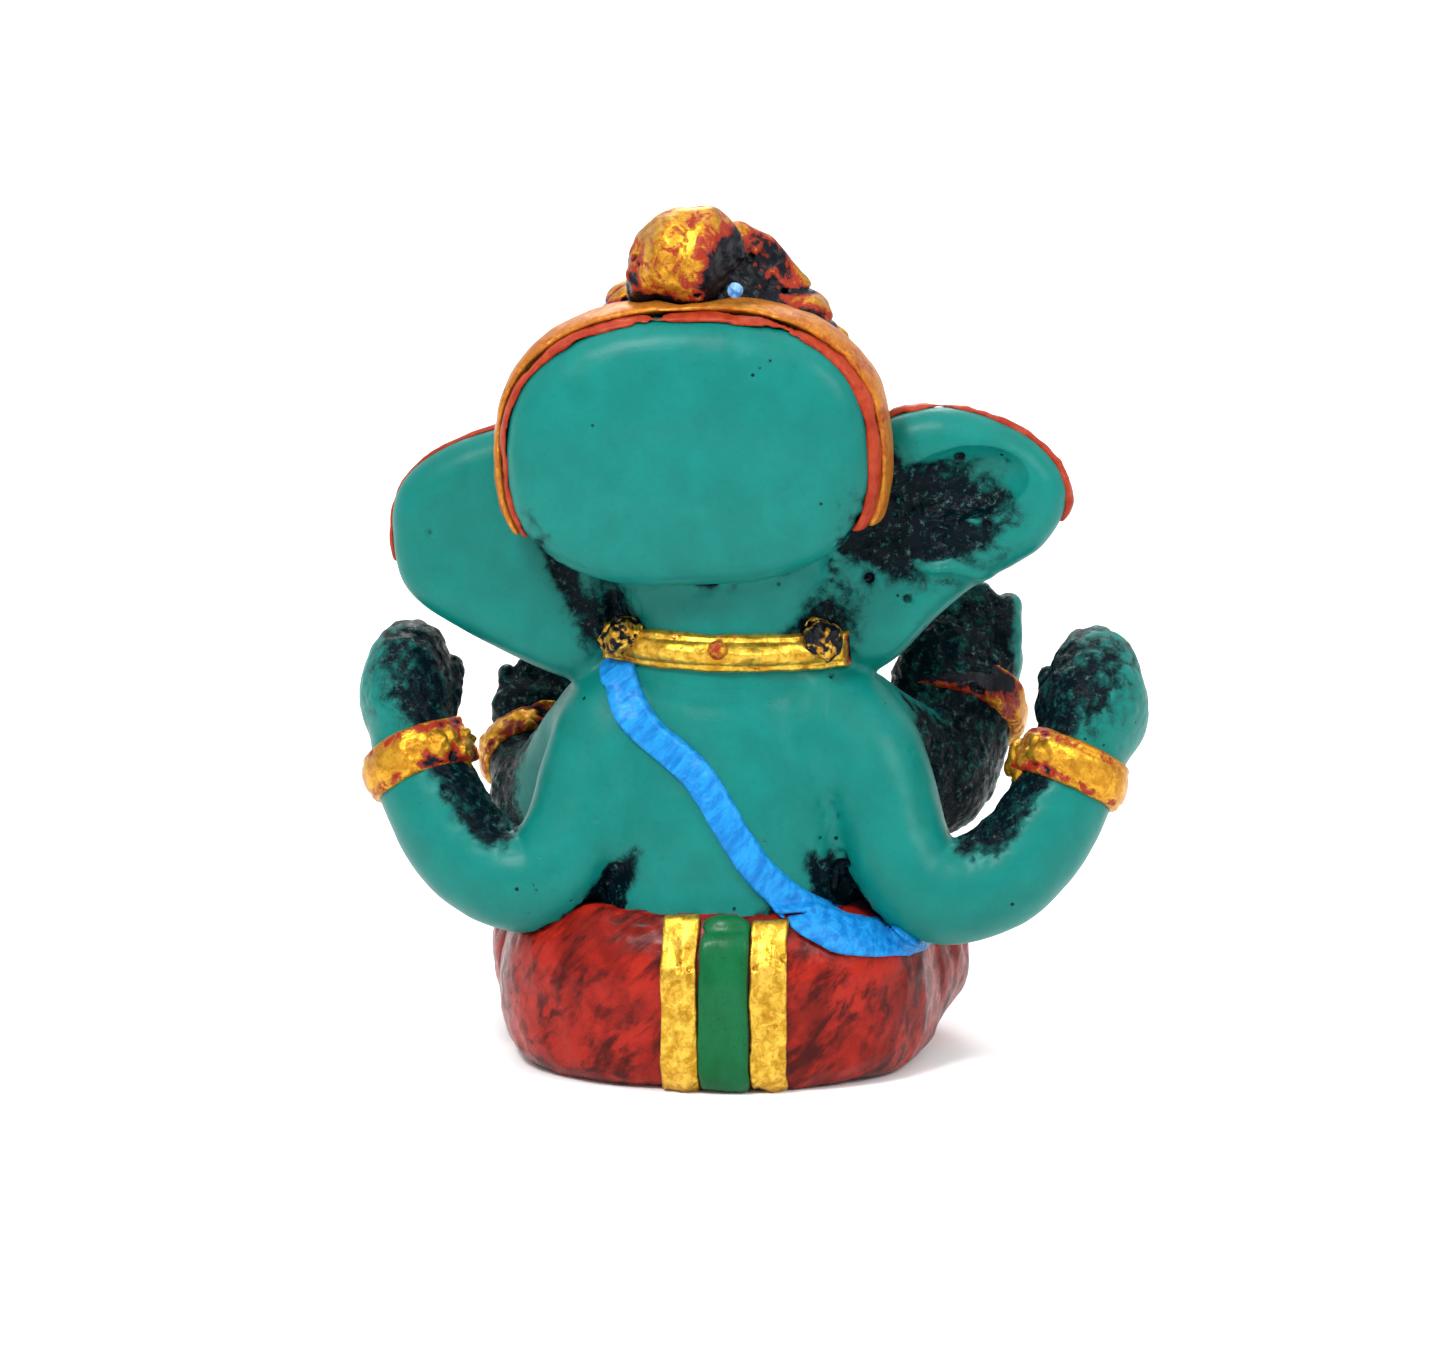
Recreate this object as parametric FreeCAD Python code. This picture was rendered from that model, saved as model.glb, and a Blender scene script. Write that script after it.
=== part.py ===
"""A seated elephant-headed idol with four arms, in painted cast resin.

The figure faces -Y and its left hand side is +X. It sits on the plane z = 0, and the origin is the centre
of the seat's underside. Each sculpted element is a solid of its own that meets its neighbours face to face:
an element gives way to the ones that build() adds before it.
"""

import FreeCAD, Part
import math
import os

V = FreeCAD.Vector
X_AXIS, Y_AXIS, Z_AXIS = V(1, 0, 0), V(0, 1, 0), V(0, 0, 1)

# Driving dimensions, in millimetres and degrees.
SEAT_HALF_WIDTH = 16.0
SEAT_HALF_DEPTH = 14.2
WAIST_Z = 12.9
CHEST_HALF_WIDTH = 11.3
NECK_X = -0.6
NECK_Y = 2.4
NECKLACE_Z = 30.9
HEAD_X = 1.4  # the head sits a little to the figure's left of the seat
HEAD_Z = 46.2  # middle of the flat back of the head
HEAD_HALF_WIDTH = 13.2
HEAD_HALF_HEIGHT = 9.7
HEAD_BACK_Y = 12.3
HEAD_ROLL = 3.0  # the head leans to the figure's left
RELIEF = 0.6  # how far bands and cloth trim stand above what they lie on
SASH_HALF_WIDTH = 1.15
PANEL_X = -1.6
PANEL_HALF_WIDTH = 1.85
BORDER_WIDTH = 2.7
EAR_THICKNESS = 4.2
EAR_RIM_R = 0.75
BANGLE_R = 0.95
FAR = 60.0  # longer than anything in the figure

OUTLINE_POINTS = 18
SIDES = (("left", 1), ("right", -1))


# Shapes

def loop(centre, half_sizes, across, up, power=2.0):
    """A closed smooth outline: an ellipse at power 2, squarer above that."""
    points = []
    for k in range(OUTLINE_POINTS):
        angle = 2 * math.pi * k / OUTLINE_POINTS
        c, s = math.cos(angle), math.sin(angle)
        reach_across = half_sizes[0] * math.copysign(abs(c) ** (2 / power), c)
        reach_up = half_sizes[1] * math.copysign(abs(s) ** (2 / power), s)
        points.append(centre + across * reach_across + up * reach_up)
    return closed_curve(points)


def closed_curve(points):
    """A smooth closed wire through the points."""
    curve = Part.BSplineCurve()
    curve.interpolate(points, PeriodicFlag=True)
    return Part.Wire([curve.toShape()])


def skin(outlines):
    """The solid that runs smoothly through a row of outlines."""
    return Part.makeLoft(outlines, True, False)


def stack(rows, power=2.0, grow=0.0):
    """A solid through level outlines, each (z, centre x, centre y, half width, half depth)."""
    return skin([
        loop(V(x, y, z), (a + grow, b + grow), X_AXIS, Y_AXIS, power) for z, x, y, a, b in rows
    ])


def along(points, radii, steps):
    """Places, directions and radii at even steps along a smooth path through the points."""
    path = Part.BSplineCurve()
    path.interpolate(points)
    stops = [path.parameter(p) for p in points]
    for k in range(steps + 1):
        t = stops[0] + (stops[-1] - stops[0]) * k / steps
        i = max(j for j in range(len(stops) - 1) if stops[j] <= t + 1e-9)
        share = (t - stops[i]) / (stops[i + 1] - stops[i])
        yield path.value(t), path.tangent(t)[0], radii[i] + (radii[i + 1] - radii[i]) * share


def limb(places, steps=7, flat=1.0):
    """A tapering round-ended limb through places, each (x, y, z, radius). flat thins it front to back."""
    points = [V(x, y, z) for x, y, z, _ in places]
    rows = list(along(points, [place[3] for place in places], steps))
    cap = ((0.3, 0.95), (0.65, 0.76), (0.92, 0.4), (0.99, 0.14))
    (p0, d0, r0), (p1, d1, r1) = rows[0], rows[-1]
    tail = [(p0 - d0 * (r0 * out), d0, r0 * size) for out, size in reversed(cap)]
    nose = [(p1 + d1 * (r1 * out), d1, r1 * size) for out, size in cap]
    side = min((Y_AXIS, X_AXIS, Z_AXIS), key=lambda axis: max(abs(d.dot(axis)) for _, d, _ in rows))
    outlines = []
    for p, d, r in tail + rows + nose:
        across = d.cross(side)
        across.normalize()
        outlines.append(loop(p, (r, r * flat), across, across.cross(d)))
    return skin(outlines)


def ellipsoid(centre, radii, turn=0.0, axis=Y_AXIS):
    """A sphere stretched along X, Y and Z, then turned about its own centre."""
    matrix = FreeCAD.Matrix()
    matrix.scale(V(*radii))
    shape = Part.makeSphere(1.0).transformGeometry(matrix)
    shape.rotate(V(), axis, turn)
    shape.translate(V(*centre))
    return shape


def capsule(start, end, r1, r2):
    """A round-ended cone, for a finger, toe or tusk."""
    axis = end - start
    lean = math.asin((r1 - r2) / axis.Length)
    tail_turn = (math.pi / 2 + lean) / 2
    nose_turn = (math.pi / 2 - lean) / 2
    tip_x = axis.Length + r2
    low = V(r1 * math.sin(lean), r1 * math.cos(lean), 0)
    high = V(axis.Length + r2 * math.sin(lean), r2 * math.cos(lean), 0)
    tail = V(-r1 * math.cos(tail_turn), r1 * math.sin(tail_turn), 0)
    nose = V(axis.Length + r2 * math.cos(nose_turn), r2 * math.sin(nose_turn), 0)
    outline = Part.Wire([
        Part.Arc(V(-r1, 0, 0), tail, low).toShape(), Part.makeLine(low, high),
        Part.Arc(high, nose, V(tip_x, 0, 0)).toShape(), Part.makeLine(V(tip_x, 0, 0), V(-r1, 0, 0)),
    ])
    solid = Part.Face(outline).revolve(V(), X_AXIS, 360)
    solid.Placement = FreeCAD.Placement(start, FreeCAD.Rotation(X_AXIS, axis))
    return solid


def ring(centre, direction, radius, thick, stretch=1.0):
    """A round band about direction, its section stretched along that direction."""
    matrix = FreeCAD.Matrix()
    matrix.scale(V(1, 1, stretch))
    shape = Part.makeTorus(radius, thick).transformGeometry(matrix)
    shape.Placement = FreeCAD.Placement(centre, FreeCAD.Rotation(Z_AXIS, direction))
    return shape


def ribbon(path, half_width, y0, y1):
    """A prism along Y on a ribbon that follows a smooth line of (x, z) points."""
    line = Part.BSplineCurve()
    line.interpolate([V(x, y0, z) for x, z in path])
    first, last = line.FirstParameter, line.LastParameter
    left, right = [], []
    steps = 3 * (len(path) - 1)
    for k in range(steps + 1):
        t = first + (last - first) * k / steps
        aside = line.tangent(t)[0].cross(Y_AXIS) * half_width
        left.append(line.value(t) + aside)
        right.append(line.value(t) - aside)
    edges = []
    for points in (left, right):
        curve = Part.BSplineCurve()
        curve.interpolate(points)
        edges.append(curve.toShape())
    edges.append(Part.makeLine(left[0], right[0]))
    edges.append(Part.makeLine(left[-1], right[-1]))
    wire = Part.Wire(Part.__sortEdges__(edges))
    return Part.Face(wire).extrude(V(0, y1 - y0, 0))


def largest(shape):
    """The biggest solid of a shape."""
    return max(shape.Solids, key=lambda solid: solid.Volume)


def joined(shapes):
    """One solid from shapes that overlap."""
    return largest(shapes[0].multiFuse(shapes[1:]))


def above(z):
    """Everything above a height."""
    return Part.makeBox(2 * FAR, 2 * FAR, FAR, V(-FAR, -FAR, z))


def rolled(shape):
    """A head piece, leaning to the figure's left about the middle of the head."""
    shape.rotate(V(HEAD_X, 0, HEAD_Z), Y_AXIS, HEAD_ROLL)
    return shape


def on_head(x, y, z):
    """A point given from the middle of the head's back, before the head leans."""
    return V(HEAD_X + x, y, HEAD_Z + z)


# Seat and legs

def seat_rows():
    a, b = SEAT_HALF_WIDTH, SEAT_HALF_DEPTH
    return [
        (0.0, 0, 0.0, a - 2.2, b - 1.6), (0.5, 0, 0.1, a - 1.3, b - 0.8), (1.6, 0, 0.2, a - 0.5, b - 0.2),
        (4.0, 0, 0.4, a, b), (7.0, 0, 0.9, a - 0.1, b - 0.4), (9.6, 0, 1.4, a - 0.9, b - 1.1),
        (11.6, 0, 1.2, a - 2.4, b - 1.8), (WAIST_Z, 0, 0.9, a - 4.0, b - 2.4),
    ]


def seat():
    return stack(seat_rows(), power=2.4)


def leg(side):
    """A folded leg under the cloth: thigh out to the knee, shin back to the middle."""
    return limb([
        (side * 9.0, -1.0, 7.2, 6.0), (side * 12.0, -7.4, 5.8, 5.2),
        (side * 8.4, -11.6, 4.9, 4.1), (side * 4.4, -12.6, 4.0, 3.2),
    ], steps=9)


def foot(side):
    """A foot that points forward, its sole against the other one's, with five toes in a row."""
    heel, ball = V(side * 3.0, -12.6, 3.4), V(side * 2.6, -17.4, 2.8)
    pieces = [capsule(heel, ball, 2.2, 2.0)]
    for k in range(5):
        start = ball + V(side * (-1.25 + 0.72 * k), -0.9, 0.5 - 0.12 * k)
        pieces.append(capsule(start, start + V(0, -1.8 + 0.2 * k, -0.1), 0.72 - 0.05 * k, 0.55 - 0.04 * k))
    return joined(pieces)


def anklet(side):
    return ring(V(side * 5.6, -12.3, 4.35), V(side * -1.0, -0.25, -0.2), 3.25, 0.72)


# Torso, neck and what they wear

def torso_rows():
    a = CHEST_HALF_WIDTH
    return [
        (8.5, -0.2, 0.6, a - 0.6, 10.9), (WAIST_Z, -0.3, 0.3, a + 0.6, 11.9),
        (16.4, -0.4, -0.9, a + 0.7, 12.7), (20.0, -0.5, -0.8, a + 0.3, 12.3),
        (23.6, -0.6, 0.3, a, 10.2), (26.8, -0.6, 1.2, a - 1.1, 8.2),
        (29.3, -0.6, 1.8, a - 3.2, 6.5), (32.0, -0.6, 2.2, a - 4.6, 5.3),
    ]


def torso():
    return stack(torso_rows(), power=2.1)


def neck():
    return stack([
        (28.0, NECK_X, NECK_Y, 7.6, 6.3), (33.0, NECK_X, NECK_Y, 7.8, 6.0), (40.0, NECK_X, NECK_Y, 9.4, 6.2),
    ])


def necklace():
    matrix = FreeCAD.Matrix()
    matrix.scale(V(1.0, 0.88, 1.2))
    band = Part.makeTorus(7.3, 1.3).transformGeometry(matrix)
    band.rotate(V(), X_AXIS, 7)
    band.translate(V(NECK_X - 0.2, NECK_Y - 0.2, NECKLACE_Z - 0.2))
    return band


def necklace_bead():
    return Part.makeSphere(0.62, V(NECK_X - 0.1, NECK_Y + 7.45, NECKLACE_Z + 0.9))


def necklace_knot(side):
    return ellipsoid((NECK_X + side * 7.2, NECK_Y + 4.0, NECKLACE_Z + 1.1), (1.6, 1.5, 1.25), side * 20)


def pendant():
    return ellipsoid((NECK_X, -6.9, 27.6), (1.9, 1.2, 2.2))


def sash():
    """The sacred thread: a cloth band over the left shoulder and under the right arm, front and back."""
    path = [(7.4, 32.0), (6.5, 28.2), (5.0, 26.0), (1.2, 23.2), (-2.3, 18.2), (-5.4, 14.3), (-9.4, 11.6),
            (-13.6, 10.5), (-17.5, 9.6)]
    cloth = ribbon(path, SASH_HALF_WIDTH, -20, 40)
    rows = torso_rows()
    raised = stack(rows[1:], power=2.1, grow=RELIEF)
    hips = stack(seat_rows()[4:], power=2.4, grow=RELIEF)
    return joined([raised, hips]).common(cloth)


def panel(low_x, high_x, relief, top_z):
    """A strip of cloth down the back of the seat, its top edge rounded into the waist."""
    rows = [(z, x, y, a + relief, b + relief) for z, x, y, a, b in seat_rows()]
    (z0, x0, y0, a0, b0), (z1, x1, y1, a1, b1) = rows[-1], rows[-2]
    rows[-1] = (top_z - 0.5, x0, y0, a1 - 0.9, b1 - 0.1)
    rows.append((top_z, x0, y0, a0 - 0.6, b0 - 0.9))
    shape = stack(rows, power=2.4)
    strip = Part.makeBox(high_x - low_x, FAR, FAR, V(low_x, 4, 0))
    return shape.common(strip)


# Arms

REAR_ARMS = {
    "left": {
        "arm": [(6.6, 3.4, 24.6, 4.6), (9.4, 6.2, 18.8, 4.0), (12.6, 7.4, 14.0, 3.8), (16.6, 6.8, 14.8, 3.8),
                (20.0, 5.6, 18.4, 3.7), (21.8, 4.2, 22.0, 3.4)],
        "hand": [(22.0, 3.6, 23.2, 3.3), (22.9, 2.4, 26.2, 3.7), (22.9, 0.6, 28.6, 2.8)],
        "fingers": [(22.9, 0.4, 28.8, 2.6), (22.6, -1.8, 28.7, 2.3), (22.2, -3.6, 26.8, 1.8)],
    },
    "right": {
        "arm": [(-8.8, 3.4, 24.8, 4.6), (-12.6, 6.2, 19.0, 4.0), (-15.9, 7.4, 14.0, 3.8),
                (-20.3, 6.8, 14.7, 3.9), (-24.0, 5.6, 18.4, 3.8), (-25.9, 4.2, 22.4, 3.5)],
        "hand": [(-26.3, 3.6, 23.6, 3.6), (-27.2, 2.4, 26.4, 4.3), (-27.2, 0.6, 28.8, 3.3)],
        "fingers": [(-27.2, 0.4, 28.9, 3.1), (-26.8, -2.0, 28.8, 2.7), (-26.2, -4.0, 26.6, 2.1)],
    },
}
FRONT_ARMS = {
    "left": [(8.2, 0.0, 23.6, 4.4), (13.9, -5.2, 16.8, 3.6), (15.7, -10.6, 19.6, 2.8)],
    "right": [(-9.6, 0.0, 24.0, 4.4), (-15.0, -4.6, 19.4, 4.1), (-16.4, -9.2, 24.0, 3.4)],
}
ELBOW = 2  # the place along each rear arm where the upper arm ends


def front_arm_halves(places):
    """Upper arm and forearm, straight and close to the chest."""
    shoulder, elbow, wrist = (V(*place[:3]) for place in places)
    radii = [place[3] for place in places]
    return capsule(shoulder, elbow, *radii[:2]), capsule(elbow, wrist, radii[1] - 0.1, radii[2])


def rear_arm_halves(places):
    """Upper arm and forearm: one curved limb, parted by a plane across it at the elbow."""
    whole = limb(places, steps=12)
    before, elbow, after = (V(*place[:3]) for place in places[ELBOW - 1:ELBOW + 2])
    half_space = Part.makeBox(FAR, FAR, FAR, V(-FAR / 2, -FAR / 2, 0))
    half_space.Placement = FreeCAD.Placement(elbow, FreeCAD.Rotation(Z_AXIS, after - before))
    return largest(whole.cut(half_space)), largest(whole.common(half_space))


def bangle(places, radius, thick):
    """A band round the wrist end of an arm."""
    before, wrist = V(*places[-2][:3]), V(*places[-1][:3])
    return ring(wrist, wrist - before, radius, thick, 1.5)


def rear_hand(arm):
    """A mitten of four fingers held together, upright and curled forward, with the thumb inside."""
    palm = limb(arm["hand"], steps=5, flat=0.82)
    x0, y0, z0, r = arm["hand"][1]
    inward = -math.copysign(1, x0)
    thumb_root = V(x0 + inward * r * 0.7, y0 - 1.2, z0 - 0.6)
    thumb_tip = V(x0 + inward * r * 0.8, y0 - 3.2, z0 + 1.6)
    thumb = capsule(thumb_root, thumb_tip, 1.2, 0.9)
    return joined([palm, limb(arm["fingers"], steps=5), thumb])


def blessing_hand():
    """The right front hand, raised with its palm forward and its fingers up."""
    palm = ellipsoid((-17.0, -10.0, 27.0), (4.1, 2.0, 3.4), 5)
    pieces = [palm]
    for k in range(4):
        start = V(-19.7 + 1.95 * k, -10.2, 28.4)
        length = (3.0, 3.7, 4.0, 3.4)[k]
        pieces.append(capsule(start, start + V(-0.35 + 0.15 * k, -0.2, length), 1.12, 0.95))
    pieces.append(capsule(V(-14.0, -10.6, 26.2), V(-12.9, -11.4, 29.4), 1.2, 0.95))
    return joined(pieces)


def offering_hand():
    """The left front hand, upright behind the sweet that rests against its palm."""
    pieces = [ellipsoid((15.4, -12.2, 22.3), (3.1, 1.8, 2.5), -6)]
    for k in range(4):
        start = V(17.3 - 1.35 * k, -12.5, 23.4)
        pieces.append(capsule(start, start + V(0.1, -0.5, (1.5, 2.0, 2.1, 1.7)[k]), 0.86, 0.72))
    pieces.append(capsule(V(13.0, -12.8, 21.4), V(11.9, -14.0, 23.2), 0.95, 0.75))
    return joined(pieces)


def modak():
    """A steamed sweet: a pleated drop."""
    base = (14.4, -15.2, 22.4)
    tip = V(14.4, -15.2, 26.3)
    return joined([ellipsoid(base, (2.5, 2.3, 2.2)), capsule(V(14.4, -15.2, 23.6), tip, 1.5, 0.35)])


# Head

def head_loop(y, shrink, up_shift=0.0):
    """The flat back's outline, domed above and shallower below, at one depth."""
    points = []
    for k in range(24):
        angle = 2 * math.pi * k / 24
        c, s = math.cos(angle), math.sin(angle)
        power = 2.35 if s > 0 else 2.7
        reach_x = HEAD_HALF_WIDTH * math.copysign(abs(c) ** (2 / power), c)
        reach_z = HEAD_HALF_HEIGHT * math.copysign(abs(s) ** (2 / power), s)
        grown_x = reach_x * (1 - shrink / HEAD_HALF_WIDTH)
        grown_z = reach_z * (1 - shrink / HEAD_HALF_HEIGHT)
        points.append(on_head(grown_x, y, grown_z + up_shift))
    return closed_curve(points)


def head_back():
    """The smooth flattened back of the head, overhanging the neck."""
    back = HEAD_BACK_Y
    return rolled(skin([
        head_loop(2.0, 2.2), head_loop(6.0, 0.5), head_loop(9.6, 0.0), head_loop(back - 1.2, 0.7),
        head_loop(back - 0.4, 2.2), head_loop(back, 4.4), head_loop(back + 0.2, 7.4),
    ]))


def head_band(y0, y1, reach, low_z):
    """A band over the top and down the sides of the head's back."""
    middle = (y0 + y1) / 2
    shape = skin([head_loop(y0, -reach + 0.4), head_loop(middle, -reach), head_loop(y1, -reach + 0.4)])
    return rolled(shape.common(above(HEAD_Z + low_z)))


def face():
    brow = ellipsoid(on_head(0, -0.6, 0.2), (11.6, 9.4, 8.6))
    cheeks = ellipsoid(on_head(0, -1.8, -4.6), (9.6, 8.4, 6.8))
    return rolled(joined([brow, cheeks]))


def trunk():
    """A trunk that falls from the brow and curls to the sweet in the left hand."""
    return limb([
        (1.1, -6.5, 43.5, 4.6), (1.1, -10.4, 39.0, 4.2), (1.0, -12.2, 34.6, 3.6), (1.4, -12.8, 30.2, 3.1),
        (3.6, -13.6, 26.4, 2.7), (7.2, -14.8, 24.6, 2.3), (10.2, -15.4, 25.6, 1.9),
    ], steps=14)


def tusk(side):
    """The left tusk is whole and the right one is broken off short, as the story has it."""
    root = on_head(side * 4.4, -8.6, -7.4)
    length = 4.6 if side > 0 else 2.4
    return rolled(capsule(root, root + V(side * 0.3 * length, -0.75 * length, -0.45 * length), 1.15, 0.7))


def eye(side):
    return rolled(ellipsoid(on_head(side * 4.9, -8.9, 0.0), (1.75, 1.0, 1.05), side * 12))


def forehead_mark():
    return rolled(ellipsoid(on_head(0, -9.8, 3.6), (0.85, 0.7, 1.9)))


LEFT_EAR = [(15.0, 46.6), (20.0, 44.8), (23.0, 42.2), (23.8, 38.8), (23.0, 35.0), (19.6, 32.0), (14.0, 29.2),
            (9.6, 28.2), (7.2, 31.0), (8.2, 38.0), (10.6, 44.4)]
RIGHT_EAR = [(-12.0, 47.4), (-15.8, 48.5), (-20.2, 47.6), (-23.7, 45.4), (-25.2, 42.6), (-23.8, 38.8),
             (-19.6, 36.0), (-15.4, 32.6), (-11.0, 29.2), (-7.6, 31.4), (-7.9, 38.0), (-9.0, 44.0)]
EAR_RIM_PATHS = {
    "left": [(14.4, 46.2), (17.8, 45.1), (20.6, 43.6), (22.5, 41.6), (23.2, 39.2), (23.1, 37.0)],
    "right": [(-11.9, 46.9), (-15.8, 47.9), (-19.9, 47.0), (-23.1, 45.0), (-24.5, 42.8), (-24.4, 41.0)],
}


def ear_loop(outline, y, shrink):
    mid_x = sum(x for x, _ in outline) / len(outline)
    mid_z = sum(z for _, z in outline) / len(outline)
    points = []
    for x, z in outline:
        reach = math.hypot(x - mid_x, z - mid_z)
        keep = 1 - shrink / reach
        points.append(V(mid_x + (x - mid_x) * keep, y, mid_z + (z - mid_z) * keep))
    return closed_curve(points)


def ear(outline):
    """A broad flat ear with rounded edges, running down to the shoulder."""
    mid, half = 2.6, EAR_THICKNESS / 2
    return skin([
        ear_loop(outline, mid - half, 2.6), ear_loop(outline, mid - half * 0.8, 0.9),
        ear_loop(outline, mid - half * 0.3, 0.1), ear_loop(outline, mid + half * 0.3, 0.1),
        ear_loop(outline, mid + half * 0.8, 0.9), ear_loop(outline, mid + half, 2.6),
    ])


def right_ear():
    """The right ear is cupped towards the back."""
    return ear(RIGHT_EAR).cut(ellipsoid((-18.0, 7.4, 43.4), (6.2, 4.4, 3.4), 12))


def ear_rim(path):
    """The raised lip along the top of an ear."""
    return limb([(x, 2.2, z, EAR_RIM_R) for x, z in path], steps=10)


# Crown

def crown():
    """A tall cap that tapers above the brow, with a band round its foot."""
    x = HEAD_X
    return rolled(stack([
        (50.6, x, -0.8, 10.4, 8.6), (52.4, x, -0.8, 10.6, 8.8), (53.2, x - 0.2, -0.6, 9.2, 7.8),
        (55.4, x - 0.9, -0.2, 7.2, 6.8), (57.4, x - 1.2, 0.2, 5.6, 6.0), (59.2, x - 1.2, 0.8, 4.2, 4.8),
        (60.6, x - 1.2, 1.2, 2.8, 3.2),
    ]))


def crown_ridge():
    """The plume that runs up the front of the crown, seen past its right side."""
    return limb([
        (-5.3, 1.0, 54.2, 1.2), (-4.9, 1.6, 56.8, 1.2), (-3.5, 2.2, 59.2, 1.15), (-1.4, 2.8, 60.8, 1.1),
    ], steps=7)


def crown_finial():
    return ellipsoid((1.5, 6.6, 59.9), (3.9, 3.4, 3.7), 6)


def crown_finial_lobe():
    return ellipsoid((4.6, 5.8, 59.0), (1.8, 2.6, 3.0), -8)


def crown_jewel():
    return Part.makeSphere(0.75, V(-1.9, 9.4, 58.0))


def crown_front_jewel():
    return rolled(ellipsoid(on_head(0, -9.3, 7.4), (1.5, 0.8, 1.9)))


# The whole figure

def build():
    """Every piece by name. A piece gives way to those before it."""
    pieces = {}

    def add(name, shape):
        box = shape.BoundBox
        near = [s for s in pieces.values() if s.BoundBox.intersect(box)]
        pieces[name] = largest(shape.cut(near) if near else shape)

    inner, outer = PANEL_HALF_WIDTH, PANEL_HALF_WIDTH + BORDER_WIDTH
    left_edge, right_edge = PANEL_X + inner, PANEL_X - inner
    add("torso", torso())
    add("seat", seat())
    add("back_panel", panel(right_edge, left_edge, RELIEF + 0.25, WAIST_Z - 0.5))
    add("back_border_left", panel(left_edge, PANEL_X + outer, RELIEF, WAIST_Z + 0.1))
    add("back_border_right", panel(PANEL_X - outer, right_edge, RELIEF, WAIST_Z - 0.1))
    for name, side in SIDES:
        halves = {
            "rear": rear_arm_halves(REAR_ARMS[name]["arm"]), "front": front_arm_halves(FRONT_ARMS[name]),
        }
        for row, (upper_arm, forearm) in halves.items():
            add(row + "_upper_arm_" + name, upper_arm)
            add(row + "_forearm_" + name, forearm)
        add("rear_hand_" + name, rear_hand(REAR_ARMS[name]))
    add("front_hand_left", offering_hand())
    add("front_hand_right", blessing_hand())
    add("modak", modak())
    add("head_back", head_back())
    add("trunk", trunk())
    add("face", face())
    add("neck", neck())
    add("ear_left", ear(LEFT_EAR))
    add("ear_right", right_ear())
    add("crown", crown())
    add("crown_finial", crown_finial())
    add("crown_finial_lobe", crown_finial_lobe())
    add("crown_ridge", crown_ridge())
    add("crown_jewel", crown_jewel())
    add("crown_front_jewel", crown_front_jewel())
    add("head_rim_lining", head_band(8.2, 10.4, 0.45, -6.0))
    add("head_rim", head_band(4.6, 9.6, 1.2, -6.0))
    add("necklace_bead", necklace_bead())
    add("necklace", necklace())
    add("pendant", pendant())
    add("sacred_sash", sash())
    add("forehead_mark", forehead_mark())
    for name, side in SIDES:
        rear, front = REAR_ARMS[name]["arm"], FRONT_ARMS[name]
        add("leg_" + name, leg(side))
        add("foot_" + name, foot(side))
        add("anklet_" + name, anklet(side))
        add("necklace_knot_" + name, necklace_knot(side))
        add("rear_bangle_" + name, bangle(rear, rear[-1][3] + 0.1, BANGLE_R))
        add("front_bangle_" + name, bangle(front, front[-1][3], BANGLE_R * 0.9))
        add("tusk_" + name, tusk(side))
        add("eye_" + name, eye(side))
        add("ear_rim_" + name, ear_rim(EAR_RIM_PATHS[name]))
    return pieces


def main():
    os.makedirs("parts", exist_ok=True)
    for name, shape in build().items():
        if not shape.isValid():
            print("not valid:", name)
        shape.exportStep("parts/" + name + ".step")
        print(name, round(shape.Volume, 2))


main()
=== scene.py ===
"""Looks for the seated idol: every CAD solid is resculpted as cast resin and painted.

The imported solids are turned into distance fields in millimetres. Fields of neighbours melt into each other,
are given grit, grooves and pits, and are cut back into one closed mesh per piece.
"""

import math

import bpy
import numpy as np
import openvdb
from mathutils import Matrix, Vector


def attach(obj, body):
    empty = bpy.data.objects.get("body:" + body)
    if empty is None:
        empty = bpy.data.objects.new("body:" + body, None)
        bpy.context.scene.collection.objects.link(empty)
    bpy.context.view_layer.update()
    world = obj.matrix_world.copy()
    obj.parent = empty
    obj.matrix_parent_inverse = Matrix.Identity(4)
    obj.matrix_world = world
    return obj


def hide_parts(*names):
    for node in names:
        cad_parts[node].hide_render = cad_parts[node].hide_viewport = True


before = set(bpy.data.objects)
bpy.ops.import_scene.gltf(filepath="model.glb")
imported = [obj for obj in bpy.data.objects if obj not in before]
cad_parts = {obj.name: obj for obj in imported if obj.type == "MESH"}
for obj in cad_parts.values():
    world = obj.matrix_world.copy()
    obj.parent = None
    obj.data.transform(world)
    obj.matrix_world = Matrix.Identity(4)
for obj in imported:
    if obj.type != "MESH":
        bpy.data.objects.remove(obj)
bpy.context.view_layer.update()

MM = 0.001
VOXEL = 0.19  # mm, broad pieces
COARSE = 0.23  # mm, the broad cloth
FINE = 0.13  # mm, ornaments
WORLD_VOXEL = 0.4  # mm, the map of how enclosed each place is
BAND = 2.2  # mm, how far the distance fields reach
MARGIN = 1.2  # mm of room round a piece's CAD box
FRONT_MARGIN = 3.4  # mm, round the front arms, which grow into a broad mass
WORLD_MARGIN = 8  # mm, round the whole figure
TIGHT_REACH = 0.9  # mm, blur that finds narrow creases
WIDE_REACH = 2.4  # mm, blur that finds broad hollows
LATTICE = 64  # random values along each side of the cube that noise repeats
CRUMB = 0.06  # a loose bit with a smaller share of the points than this is dropped
SEAM_OVERLAP = 0.4  # mm that a piece runs on under its neighbour
SEAM_DIVE = 0.8  # how fast it sinks there
SHELL = 0.8  # mm, how deep an applied band reaches into what it lies on

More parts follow.
